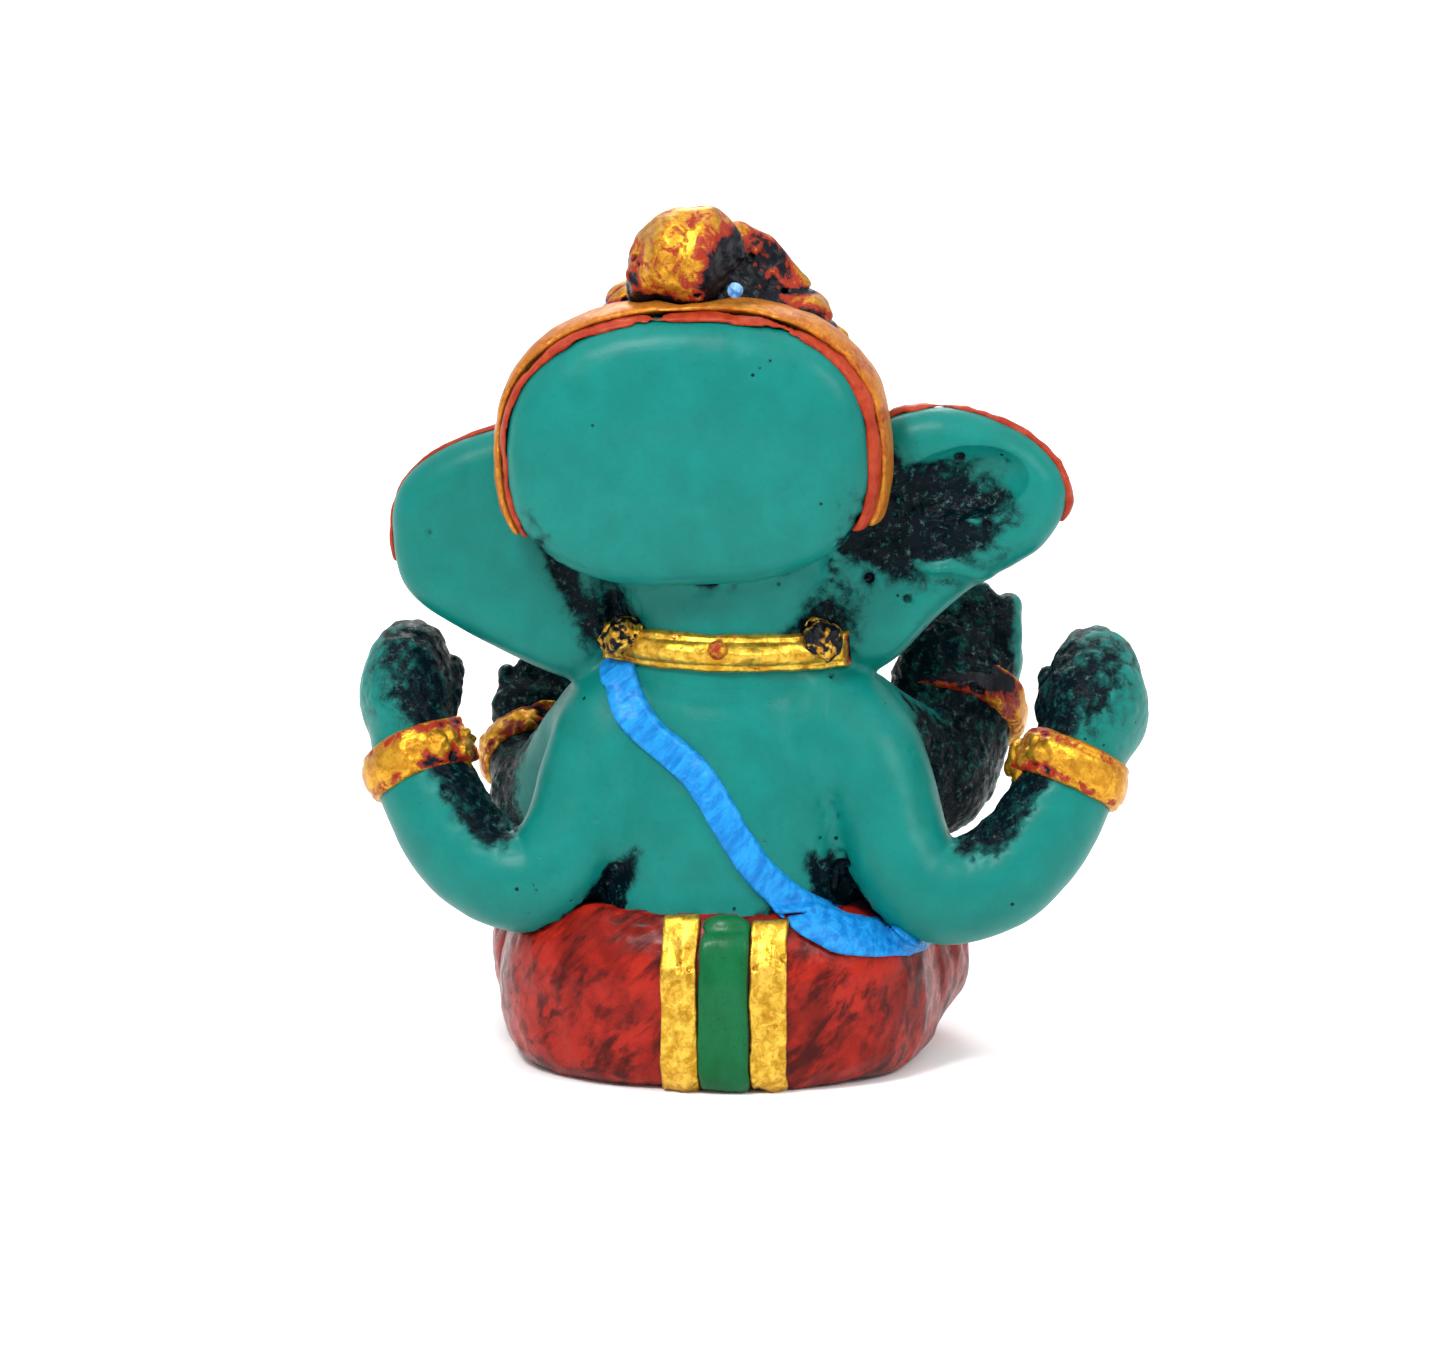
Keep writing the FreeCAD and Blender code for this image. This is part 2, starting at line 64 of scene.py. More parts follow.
# Groups whose pieces melt together, with each piece's fillet radius in mm. The rear upper arms melt into the
# shoulders with theirs above the heights of CREASE_Z, and with CREASE_RADIUS below them.
CREASE_Z = (20.5, 27.0)
CREASE_RADIUS = 1.1
SKIN = {
    "torso": 0.5, "neck": 1.6, "face": 1.2, "trunk": 1.6,
    "rear_upper_arm_left": 2.6, "rear_upper_arm_right": 2.6, "front_upper_arm_left": 1.4,
    "front_upper_arm_right": 1.4, "rear_forearm_left": 0.1, "rear_forearm_right": 0.1,
    "front_forearm_left": 1.4, "front_forearm_right": 1.4, "rear_hand_left": 1.2, "rear_hand_right": 1.2,
    "front_hand_left": 0.8, "front_hand_right": 0.8, "ear_left": 1.3, "ear_right": 1.3, "head_back": 0.4,
}
CLOTH = {"seat": 0.5, "leg_left": 1.8, "leg_right": 1.8}
CROWN = {"crown": 0.4, "crown_finial": 0.7, "crown_finial_lobe": 0.6, "crown_ridge": 0.9}
FEET = {"foot_left": 0.4, "foot_right": 0.4}


# Distance fields

def node_mesh(node):
    """A CAD node's points in millimetres and its triangles."""
    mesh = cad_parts[node].data
    points = np.empty(len(mesh.vertices) * 3, np.float32)
    mesh.vertices.foreach_get("co", points)
    mesh.calc_loop_triangles()
    triangles = np.empty(len(mesh.loop_triangles) * 3, np.int32)
    mesh.loop_triangles.foreach_get("vertices", triangles)
    return points.reshape(-1, 3) / np.float32(MM), triangles.reshape(-1, 3).astype(np.uint32)


MESHES = {node: node_mesh(node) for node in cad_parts}
BOXES = {node: (points.min(0), points.max(0)) for node, (points, _) in MESHES.items()}
GRIDS = {}


def level_set(node, voxel):
    """The node's signed distance grid, made once for each voxel size."""
    key = (node, voxel)
    if key not in GRIDS:
        points, triangles = MESHES[node]
        transform = openvdb.createLinearTransform(voxelSize=voxel)
        GRIDS[key] = openvdb.FloatGrid.createLevelSetFromPolygons(
            points, triangles=triangles, transform=transform, halfWidth=math.ceil(BAND / voxel)
        )
    return GRIDS[key]


class Block:
    """A box of lattice points shared by everything with the same voxel size."""

    def __init__(self, low, high, voxel, margin=MARGIN):
        self.voxel = voxel
        self.start = np.floor((np.array(low) - margin) / voxel).astype(int)
        self.count = np.ceil((np.array(high) + margin) / voxel).astype(int) - self.start + 1
        self.axes = [
            (start + np.arange(n)).astype(np.float32) * voxel for start, n in zip(self.start, self.count)
        ]
        self.x = self.axes[0][:, None, None]
        self.y = self.axes[1][None, :, None]
        self.z = self.axes[2][None, None, :]
        self.low, self.high = self.start * voxel, (self.start + self.count - 1) * voxel

    def touches(self, node):
        """Whether a CAD node's field reaches into the block."""
        low, high = BOXES[node]
        return bool(np.all(low - BAND < self.high) and np.all(high + BAND > self.low))

    def distance(self, node):
        """Signed distance to a CAD node, in mm, out to BAND."""
        values = np.empty(self.count, np.float32)
        level_set(node, self.voxel).copyToArray(values, ijk=tuple(int(i) for i in self.start))
        return values

    def noise(self, size, seed, stretch=(1, 1, 1)):
        """Smooth random values from about -1 to 1, with bumps of that size in mm, the same in every block."""
        lattice = np.random.RandomState(seed).uniform(-1, 1, (LATTICE, LATTICE, LATTICE)).astype(np.float32)
        weights = []
        for axis, factor in zip(self.axes, stretch):
            place = axis / (size * factor)
            cell = np.floor(place).astype(int)
            part = (place - cell).astype(np.float32)
            part = part * part * (3 - 2 * part)
            matrix = np.zeros((len(axis), LATTICE), np.float32)
            rows = np.arange(len(axis))
            np.add.at(matrix, (rows, cell % LATTICE), 1 - part)
            np.add.at(matrix, (rows, (cell + 1) % LATTICE), part)
            weights.append(matrix)
        values = np.tensordot(weights[0], lattice, (1, 0))
        values = np.tensordot(values, weights[1], (1, 1))
        values = np.tensordot(values, weights[2], (1, 1))
        return values

    def sample_map(self, volume, block):
        """Another block's values on this lattice."""
        for k in range(3):
            place = np.clip((self.axes[k] - block.low[k]) / block.voxel, 0, block.count[k] - 1.001)
            cell = place.astype(int)
            part = (place - cell).astype(np.float32)
            shape = [1, 1, 1]
            shape[k] = len(cell)
            part = part.reshape(shape)
            volume = volume.take(cell, k) * (1 - part) + volume.take(cell + 1, k) * part
        return volume

    def at(self, values, points):
        """Values at any points in mm, between the lattice points."""
        place = np.clip((points - self.low) / self.voxel, 0, self.count - 1.001)
        cell = place.astype(int)
        part = place - cell
        total = np.zeros(len(points))
        for corner in range(8):
            upper = np.array([corner & 1, corner >> 1 & 1, corner >> 2 & 1])
            weight = np.prod(np.where(upper, part, 1 - part), axis=1)
            i, j, k = (cell + upper).T
            total += weight * values[i, j, k]
        return total


def smooth_min(a, b, radius):
    """Joins two fields with a fillet."""
    melt = np.maximum(radius - np.abs(a - b), 0)
    return np.minimum(a, b) - melt * melt * (0.25 / radius)


def smooth_max(a, b, radius):
    """Keeps where two fields meet, with a rounded edge."""
    return -smooth_min(-a, -b, radius)


def step(low, high, values):
    """0 below low, 1 above high, smooth between."""
    t = np.clip((values - low) / (high - low), 0, 1)
    return t * t * (3 - 2 * t)


def soften(values, passes):
    """Rounds every edge of a field."""
    for _ in range(passes):
        for axis in range(3):
            padded = np.pad(values, [(1, 1) if k == axis else (0, 0) for k in range(3)], mode="edge")
            before = padded.take(range(0, padded.shape[axis] - 2), axis)
            after = padded.take(range(2, padded.shape[axis]), axis)
            values = (before + 2 * values + after) / 4
    return values


def blurred(values, sigma):
    """Gaussian blur by Fourier transform, sigma in lattice steps."""
    spectrum = np.fft.rfftn(values)
    for axis, n in enumerate(values.shape):
        turns = np.fft.rfftfreq(n) if axis == 2 else np.fft.fftfreq(n)
        shape = [1, 1, 1]
        shape[axis] = len(turns)
        spectrum = spectrum * np.exp(-2 * (math.pi * sigma * turns) ** 2).reshape(shape)
    return np.fft.irfftn(spectrum, values.shape).astype(np.float32)


def melted(block, group):
    """The group's pieces as one field."""
    field = None
    for node, radius in group.items():
        if block.touches(node):
            distance = block.distance(node)
            if node.startswith("rear_upper_arm"):
                radius = CREASE_RADIUS + (radius - CREASE_RADIUS) * step(*CREASE_Z, block.z)
            field = distance if field is None else smooth_min(field, distance, radius)
    return np.full(block.count, BAND, np.float32) if field is None else field


def share(block, group, node):
    """Below 0 where the node is the nearest of its group."""
    own = block.distance(node)
    others = [block.distance(other) for other in group if other != node and block.touches(other)]
    if not others:
        return np.full(block.count, -BAND, np.float32)
    return (own - np.minimum.reduce(others)) / 2


# How enclosed each place is

def enclosure_maps():
    """How much solid lies round each place, over a short and a long reach, and the block that both fill."""
    low = np.min([box[0] for box in BOXES.values()], axis=0)
    high = np.max([box[1] for box in BOXES.values()], axis=0)
    block = Block(low, high, WORLD_VOXEL, WORLD_MARGIN)
    solid = np.zeros(block.count, np.float32)
    for node in MESHES:
        solid = np.maximum(solid, np.clip(0.5 - block.distance(node) / WORLD_VOXEL, 0, 1))
    return block, blurred(solid, TIGHT_REACH / WORLD_VOXEL), blurred(solid, WIDE_REACH / WORLD_VOXEL)


WORLD, TIGHT, WIDE = enclosure_maps()


# Making meshes

def without_crumbs(points, quads):
    """The points and quads without small loose bits."""
    label = np.arange(len(points))
    a, b = quads.ravel(), np.roll(quads, 1, axis=1).ravel()
    while True:
        lower = label.copy()
        np.minimum.at(lower, a, label[b])
        np.minimum.at(lower, b, label[a])
        lower = lower[lower]
        if np.array_equal(lower, label):
            break
        label = lower
    names, sizes = np.unique(label, return_counts=True)
    kept = np.isin(label, names[sizes > CRUMB * sizes.max()])
    renumber = np.cumsum(kept) - 1
    quads = quads[kept[quads[:, 0]]]
    return points[kept], renumber[quads]


def surface(block, field):
    """The field's zero surface as points in mm and quads."""
    grid = openvdb.FloatGrid(background=BAND)
    grid.transform = openvdb.createLinearTransform(voxelSize=block.voxel)
    field = np.clip(field, -BAND, BAND).astype(np.float32)
    for axis in range(3):
        np.moveaxis(field, axis, 0)[[0, -1]] = BAND
    grid.copyFromArray(field, ijk=tuple(int(i) for i in block.start))
    points, _, quads = grid.convertToPolygons(isovalue=0.0, adaptivity=0.0)
    return without_crumbs(points, quads.astype(np.int64))


def normals_of(block, field, points):
    """The field's outward direction at points."""
    gradient = []
    for k in range(3):
        offset = np.zeros(3)
        offset[k] = block.voxel
        gradient.append(block.at(field, points + offset) - block.at(field, points - offset))
    gradient = np.stack(gradient, axis=1)
    return gradient / np.maximum(np.linalg.norm(gradient, axis=1, keepdims=True), 1e-6)


def quad_mesh(name, points, quads):
    """A smooth-shaded mesh from points in mm and quads."""
    mesh = bpy.data.meshes.new(name)
    mesh.vertices.add(len(points))
    mesh.vertices.foreach_set("co", (points * MM).astype(np.float32).ravel())
    mesh.loops.add(quads.size)
    mesh.loops.foreach_set("vertex_index", quads.ravel().astype(np.int32))
    mesh.polygons.add(len(quads))
    mesh.polygons.foreach_set("loop_start", np.arange(0, quads.size, 4, dtype=np.int32))
    mesh.update(calc_edges=True)
    mesh.validate()
    mesh.shade_smooth()
    return mesh


def make_piece(node, block, field, base, material, wash_and_shade=None):
    """A closed mesh of the field that stands for a CAD node, with what its paint needs stored at each point.

    base is the field before grooves and grit; the last argument says how much dark wash was brushed on and
    how much shade is painted there.
    """
    points, quads = surface(block, field)
    mesh = quad_mesh(node + "_look", points, quads)
    normals = normals_of(block, field, points)
    values = {
        "tight": WORLD.at(TIGHT, points + 0.25 * normals),
        "wide": WORLD.at(WIDE, points + 0.5 * normals),
        "relief": block.at(base, points),
        "wash_and_shade": np.zeros(len(points)) if wash_and_shade is None else block.at(wash_and_shade, points),
    }
    for key, column in values.items():
        layer = mesh.attributes.new(key, "FLOAT", "POINT")
        layer.data.foreach_set("value", column.astype(np.float32))
    mesh.materials.append(material)
    piece = bpy.data.objects.new(node + "_look", mesh)
    bpy.context.scene.collection.objects.link(piece)
    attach(piece, "root")
    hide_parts(node)


def cut_from(block, field, territory):
    """One piece's part of a melted field, running on a little under its neighbours."""
    sunk = field + SEAM_DIVE * np.maximum(territory, 0) ** 2
    return np.maximum(sunk, territory - SEAM_OVERLAP)


# Shader nodes

class Paint:
    """A node material with a few short ways to write it."""

    def __init__(self, name):
        self.material = bpy.data.materials.new(name)
        self.material.use_nodes = True
        self.tree = self.material.node_tree
        self.shader = self.tree.nodes["Principled BSDF"]
        self.place = self.tree.nodes.new("ShaderNodeTexCoord").outputs["Object"]

    def link(self, value, socket):
        """Links another node's output to a socket, or sets the socket to a plain value."""
        if isinstance(value, bpy.types.NodeSocket):
            self.tree.links.new(value, socket)
        else:
            socket.default_value = value

    def attribute(self, name):
        """A value that make_piece stored at each point."""
        node = self.tree.nodes.new("ShaderNodeAttribute")
        node.attribute_name = name
        return node.outputs["Fac"]

    def math(self, operation, a, b):
        node = self.tree.nodes.new("ShaderNodeMath")
        node.operation = operation
        self.link(a, node.inputs[0])
        self.link(b, node.inputs[1])
        return node.outputs[0]

    def plus(self, a, b):
        return self.math("ADD", a, b)

    def minus(self, a, b):
        return self.math("SUBTRACT", a, b)

    def times(self, a, b):
        return self.math("MULTIPLY", a, b)

    def stretched(self, factors, turn=0.0):
        """The place squeezed along each axis, after a turn about Y in radians."""
        turned = self.tree.nodes.new("ShaderNodeMapping")
        self.link(self.place, turned.inputs["Vector"])
        turned.inputs["Rotation"].default_value = (0, turn, 0)
        node = self.tree.nodes.new("ShaderNodeMapping")
        self.link(turned.outputs[0], node.inputs["Vector"])
        node.inputs["Scale"].default_value = factors
        return node.outputs[0]

    def noise(self, size_mm, detail=3.0, roughness=0.55, distortion=0.0, place=None):
        node = self.tree.nodes.new("ShaderNodeTexNoise")
        self.link(place or self.place, node.inputs["Vector"])
        node.inputs["Scale"].default_value = 1 / (size_mm * MM)
        node.inputs["Detail"].default_value = detail
        node.inputs["Roughness"].default_value = roughness
        node.inputs["Distortion"].default_value = distortion
        return node.outputs["Fac"]

    def cells(self, size_mm):
        node = self.tree.nodes.new("ShaderNodeTexVoronoi")
        self.link(self.place, node.inputs["Vector"])
        node.inputs["Scale"].default_value = 1 / (size_mm * MM)
        return node.outputs["Distance"]

    def ramp(self, value, low, high, to_low=0.0, to_high=1.0):
        """Smoothly maps low..high to to_low..to_high."""
        node = self.tree.nodes.new("ShaderNodeMapRange")
        node.interpolation_type = "SMOOTHSTEP"
        self.link(value, node.inputs["Value"])
        node.inputs["From Min"].default_value = low
        node.inputs["From Max"].default_value = high
        node.inputs["To Min"].default_value = to_low
        node.inputs["To Max"].default_value = to_high
        return node.outputs["Result"]

    def mix(self, amount, a, b):
        """Colour a where amount is 0 and b where it is 1."""
        node = self.tree.nodes.new("ShaderNodeMix")
        node.data_type = "RGBA"
        self.link(amount, node.inputs["Factor"])
        self.link(colour(a), node.inputs["A"])
        self.link(colour(b), node.inputs["B"])
        return node.outputs["Result"]

    def bump(self, height, depth_mm, under=None):
        """Relief of that depth, on top of another bump where under is given."""
        node = self.tree.nodes.new("ShaderNodeBump")
        node.inputs["Strength"].default_value = 1.0
        node.inputs["Distance"].default_value = depth_mm * MM
        self.link(height, node.inputs["Height"])
        if under is not None:
            self.link(under, node.inputs["Normal"])
        return node.outputs["Normal"]

    def finish(self, base, roughness, normal, metallic=0.0, specular=0.5, coat=0.0, coat_roughness=0.2):
        """Wires the shader and gives the finished material."""
        self.link(base, self.shader.inputs["Base Color"])
        self.link(roughness, self.shader.inputs["Roughness"])
        self.link(normal, self.shader.inputs["Normal"])
        self.link(metallic, self.shader.inputs["Metallic"])
        self.link(specular, self.shader.inputs["Specular IOR Level"])
        self.shader.inputs["Coat Weight"].default_value = coat
        self.shader.inputs["Coat Roughness"].default_value = coat_roughness
        return self.material


def colour(value):
    """Gives a plain colour its alpha and leaves a socket as it is."""
    return (*value, 1.0) if isinstance(value, tuple) and len(value) == 3 else value


# Paint colours, linear
TEAL = (0.0005, 0.128, 0.108)
TEAL_LIGHT = (0.001, 0.152, 0.130)
TEAL_DEEP = (0.0005, 0.034, 0.033)
# Near black: the dark wash, black under gold, and painted shade in hollows.
BLACK_WASH_AND_SHADE = (0.0006, 0.0020, 0.0050)
RED = (0.150, 0.006, 0.003)
RED_BRIGHT = (0.300, 0.014, 0.007)
MAROON = (0.018, 0.0015, 0.0015)
GOLD = (0.380, 0.155, 0.010)
GOLD_PALE = (0.640, 0.330, 0.030)
BRONZE = (0.120, 0.040, 0.008)
GREEN = (0.001, 0.080, 0.022)
GREEN_LIGHT = (0.003, 0.100, 0.034)
GREEN_DEEP = (0.001, 0.014, 0.004)
BLUE = (0.003, 0.125, 0.390)
BLUE_PALE = (0.012, 0.230, 0.560)
BLUE_DEEP = (0.004, 0.035, 0.140)
ORANGE_RED = (0.240, 0.018, 0.006)
LIP_RED = (0.330, 0.040, 0.012)
RIM_GOLD = (0.330, 0.092, 0.010)
RIM_GOLD_PALE = (0.500, 0.190, 0.020)
YELLOW_GOLD = (0.400, 0.200, 0.012)
YELLOW_GOLD_PALE = (0.820, 0.520, 0.070)
CREAM = (0.400, 0.330, 0.210)
CREAM_PALE = (0.500, 0.440, 0.310)
CREAM_DEEP = (0.120, 0.060, 0.020)
GLASS_BLUE = (0.020, 0.100, 0.300)
GLASS_BLUE_PALE = (0.220, 0.420, 0.620)
EYE_WHITE = (0.800, 0.780, 0.700)
EYE_CREAM = (0.660, 0.620, 0.520)
IRIS = (0.050, 0.018, 0.006)
PUPIL = (0.002, 0.002, 0.002)
FLOOR_WHITE = (0.930, 0.930, 0.930)


def recess_wash_and_shade(p, spread=0.60):
    """How dark each place is painted: a dark wash where it was brushed on, and painted shade in enclosed
    places, creases and sunk detail.
    """
    # Painted shade: darker where the figure closes round a place, in creases and in sunk detail.
    enclosed = p.ramp(p.attribute("wide"), 0.50, 0.80)
    crease = p.ramp(p.attribute("tight"), 0.44, 0.72)
    sunk = p.ramp(p.attribute("relief"), 0.06, -0.22)
    sunk = p.times(sunk, 0.45)
    total = p.plus(p.times(enclosed, 0.55), p.times(crease, 0.50))
    total = p.plus(p.plus(total, sunk), p.attribute("wash_and_shade"))
    cloud = p.minus(p.noise(1.2, 8.0, 0.74, 0.3), 0.5)
    return p.plus(total, p.times(cloud, spread * 2))


def pinholes(p):
    """Sparse specks left by bubbles in the cast."""
    speck = p.ramp(p.cells(1.7), 0.10, 0.05)
    return p.times(speck, p.ramp(p.noise(4.5), 0.49, 0.57))


def skin_paint():
    p = Paint("teal_paint")
    brush = p.noise(3.2, 5.0, 0.55, 0.4)
    fine = p.noise(0.35, 4.0, 0.7)
    base = p.mix(p.ramp(brush, 0.30, 0.72), TEAL, TEAL_LIGHT)
    base = p.mix(p.times(p.ramp(fine, 0.52, 0.72), 0.16), base, TEAL_DEEP)
    # Painted highlight: lighter teal along open, convex edges.
    edge_highlight = p.times(p.ramp(p.attribute("tight"), 0.33, 0.14), 0.25)
    base = p.mix(edge_highlight, base, TEAL_LIGHT)
    # Dark wash and painted shade: deep teal, then near black.
    dark = recess_wash_and_shade(p)
    base = p.mix(p.ramp(dark, 0.32, 0.62, 0.0, 0.70), base, TEAL_DEEP)
    base = p.mix(p.ramp(dark, 0.50, 0.78, 0.0, 0.97), base, BLACK_WASH_AND_SHADE)
    # Painted glints: specks of light teal in the dark places, for light catching the grit.
    painted_glint = p.ramp(p.noise(0.55, 6.0, 0.75), 0.54, 0.68)
    painted_glint = p.times(painted_glint, p.ramp(dark, 0.42, 0.60, 0.0, 0.38))
    base = p.mix(painted_glint, base, TEAL_LIGHT)
    holes = pinholes(p)
    base = p.mix(holes, base, BLACK_WASH_AND_SHADE)
    grit = p.times(p.noise(0.45, 3.0, 0.7), p.ramp(dark, 0.45, 0.8, 0.12, 1.0))
    relief = p.minus(grit, p.times(holes, 1.2))
    normal = p.bump(relief, 0.11)
    normal = p.bump(fine, 0.012, under=normal)
    roughness = p.ramp(dark, 0.5, 0.9, 0.38, 0.22)
    gloss = p.plus(p.ramp(dark, 0.45, 0.70, 0.16, 0.05), p.times(painted_glint, 0.9))
    return p.finish(base, roughness, normal, specular=gloss)


def cloth_paint():
    p = Paint("red_paint")
    streak = p.noise(1.0, 6.0, 0.68, 0.3, p.stretched((1.0, 1.0, 0.28), 0.8))
    cloud = p.noise(3.6, 4.0, 0.6, 0.5)
    base = p.mix(p.ramp(cloud, 0.34, 0.66), RED, RED_BRIGHT)
    brushed = p.plus(p.times(streak, 0.62), p.times(p.noise(5.5, 3.0), 0.38))
    base = p.mix(p.ramp(brushed, 0.45, 0.60, 0.0, 0.85), base, MAROON)
    # Dark wash and painted shade in the folds and hollows: maroon, then near black.
    dark = recess_wash_and_shade(p)
    base = p.mix(p.ramp(dark, 0.36, 0.80, 0.0, 0.92), base, MAROON)
    base = p.mix(p.ramp(dark, 0.72, 0.98, 0.0, 0.9), base, BLACK_WASH_AND_SHADE)
    holes = pinholes(p)
    base = p.mix(holes, base, BLACK_WASH_AND_SHADE)
    height = p.minus(p.times(streak, 0.5), holes)
    normal = p.bump(height, 0.07)
    return p.finish(base, p.ramp(streak, 0.3, 0.7, 0.22, 0.40), normal, specular=0.12)


def gold_paint(name="gold_paint", wear=0.5, tones=(GOLD, GOLD_PALE), under=ORANGE_RED):
    """Metallic paint brushed over another, which shows through, with black in the hollows, partly dark wash
    and partly painted shade.

    The more wear, the less gold is left.
    """
    p = Paint(name)
    brush = p.noise(0.9, 6.0, 0.65, 0.6)
    fine = p.noise(0.28, 3.0, 0.7)
    gold = p.mix(p.ramp(brush, 0.34, 0.70), *tones)
    gold = p.mix(p.times(p.ramp(fine, 0.50, 0.70), 0.4), gold, BRONZE)
    raised = p.times(p.attribute("relief"), 1.6)
    # Creases show the under colour, and black deeper in as painted shade.
    crease = p.times(p.ramp(p.attribute("tight"), 0.45, 0.80), 0.65)
    rough = p.times(p.minus(p.noise(1.3, 6.0, 0.72, 0.5), 0.5), 1.5)
    bare_and_shaded = p.minus(p.plus(p.plus(crease, rough), p.attribute("wash_and_shade")), raised)
    red = p.ramp(bare_and_shaded, 0.62 - wear, 0.80 - wear)
    black = p.ramp(bare_and_shaded, 0.86 - wear, 1.04 - wear)
    base = p.mix(red, gold, under)
    base = p.mix(black, base, BLACK_WASH_AND_SHADE)
    metallic = p.minus(0.82, p.math("MAXIMUM", red, black))
    metallic = p.math("MAXIMUM", metallic, 0.0)
    height = p.minus(brush, p.times(red, 0.35))
    normal = p.bump(height, 0.09)
    normal = p.bump(fine, 0.02, under=normal)
    return p.finish(base, p.ramp(bare_and_shaded, 0.1, 0.9, 0.32, 0.22), normal, metallic, specular=0.14)


def rim_paint():
    """Thin gold rubbed over red and brown."""
    p = Paint("rim_paint")
    brush = p.noise(1.3, 6.0, 0.65, 0.8)
    fine = p.noise(0.3, 4.0, 0.7)
    base = p.mix(p.ramp(brush, 0.36, 0.64), RIM_GOLD, RIM_GOLD_PALE)
    base = p.mix(p.times(p.ramp(fine, 0.48, 0.7), 0.5), base, BRONZE)
    base = p.mix(p.ramp(p.noise(2.4, 5.0, 0.7), 0.54, 0.66, 0.0, 0.75), base, ORANGE_RED)
    # Dark wash and painted shade in the hollows: maroon.
    dark = recess_wash_and_shade(p, 0.4)
    base = p.mix(p.ramp(dark, 0.62, 0.92, 0.0, 0.9), base, MAROON)
    metallic = p.ramp(brush, 0.4, 0.7, 0.15, 0.55)
    normal = p.bump(brush, 0.06)
    normal = p.bump(fine, 0.02, under=normal)
    return p.finish(base, 0.34, normal, metallic, specular=0.14)


def flat_paint(name, base_a, base_b, deep, size=1.2, brush_depth=0.06, roughness=0.34, stretch=(1, 1, 1),
               turn=0.0):
    """Opaque brushed paint with two tones, and a dark wash and painted shade in its recesses."""
    p = Paint(name)
    brush = p.noise(size, 5.0, 0.62, 0.2, p.stretched(stretch, turn))
    fine = p.noise(0.3, 3.0, 0.7)
    base = p.mix(p.ramp(brush, 0.34, 0.66), base_a, base_b)
    dark = recess_wash_and_shade(p, 0.4)
    base = p.mix(p.ramp(dark, 0.40, 0.85, 0.0, 0.9), base, deep)
    base = p.mix(p.times(p.ramp(fine, 0.54, 0.72), 0.3), base, deep)
    normal = p.bump(brush, brush_depth)
    normal = p.bump(fine, 0.018, under=normal)
    return p.finish(base, roughness, normal, specular=0.13)


def eye_paint(centre, across):
    """A white eye with a dark iris painted on its front. centre and across are in metres."""
    p = Paint("eye_paint")
    node = p.tree.nodes.new("ShaderNodeVectorMath")
    node.operation = "DISTANCE"
    p.link(p.place, node.inputs[0])
    node.inputs[1].default_value = centre
    away = node.outputs["Value"]
    iris = p.ramp(away, 0.50 * across, 0.42 * across)
    pupil = p.ramp(away, 0.30 * across, 0.24 * across)
    base = p.mix(p.noise(0.8, 3.0), EYE_WHITE, EYE_CREAM)
    base = p.mix(iris, base, IRIS)
    base = p.mix(pupil, base, PUPIL)
    return p.finish(base, 0.22, p.bump(p.noise(0.4), 0.01), coat=0.4)


# Sculpting

def lump(block, centre, radii):
    """Distance-like field of an ellipsoid, below 0 inside it."""
    away = sum(((axis - c) / r) ** 2 for axis, c, r in zip((block.x, block.y, block.z), centre, radii))
    return (np.sqrt(away) - 1) * min(radii)


def near(block, centre, radii):
    """1 at the centre, fading to 0 past the radii."""
    away = sum(((axis - c) / r) ** 2 for axis, c, r in zip((block.x, block.y, block.z), centre, radii))
    return np.exp(-away)


def bubbles(block, field, seed, count, low, high, radius):
    """Small round pits where random points of a box lie on the surface."""
    random = np.random.RandomState(seed)
    for centre in random.uniform(low, high, (count, 3)):
        size = radius * random.uniform(0.5, 1.5)
        index = np.round(centre / block.voxel).astype(int) - block.start
        reach = int(size / block.voxel) + 2
        if np.any(index - reach < 0) or np.any(index + reach >= block.count):
            continue
        if abs(field[tuple(index)]) > 0.5 * size:
            continue
        region = tuple(slice(i - reach, i + reach + 1) for i in index)
        axes = [axis[r] for axis, r in zip(block.axes, region)]
        away = np.sqrt(
            (axes[0][:, None, None] - centre[0]) ** 2
            + (axes[1][None, :, None] - centre[1]) ** 2
            + (axes[2][None, None, :] - centre[2]) ** 2
        )
        field[region] = smooth_max(field[region], size - away, 0.12)
    return field


# Places on the body in mm. Keys are 1 for the figure's left, at +X, and -1 for its right.
EAR_CUP = (-15.2, 5.2, 40.2)
EAR_HOLLOWS = (((17.6, -0.4, 38.6), (5.0, 2.0, 6.2)), ((-17.6, -0.4, 41.2), (5.6, 2.0, 5.2)))  # centre, radii
REAR_HANDS = {1: (22.8, 3.4), -1: (-27.1, 4.0)}  # x of the middle, half the width
ELBOWS = {1: 15.0, -1: -18.4}  # x
ARM_CREASES = {1: 7.0, -1: -9.0}  # x, at 14 mm up
EYES = ((6.5, 45.9), (-3.7, 46.45))  # x and z
PANEL_X = -1.6  # middle of the pleat behind
WAIST_Z = 12.2


def arm_crease(block, side):
    """Distance across the crease where a rear arm leaves the back."""
    return block.x - ARM_CREASES[side] - side * 0.60 * (14.0 - block.z)


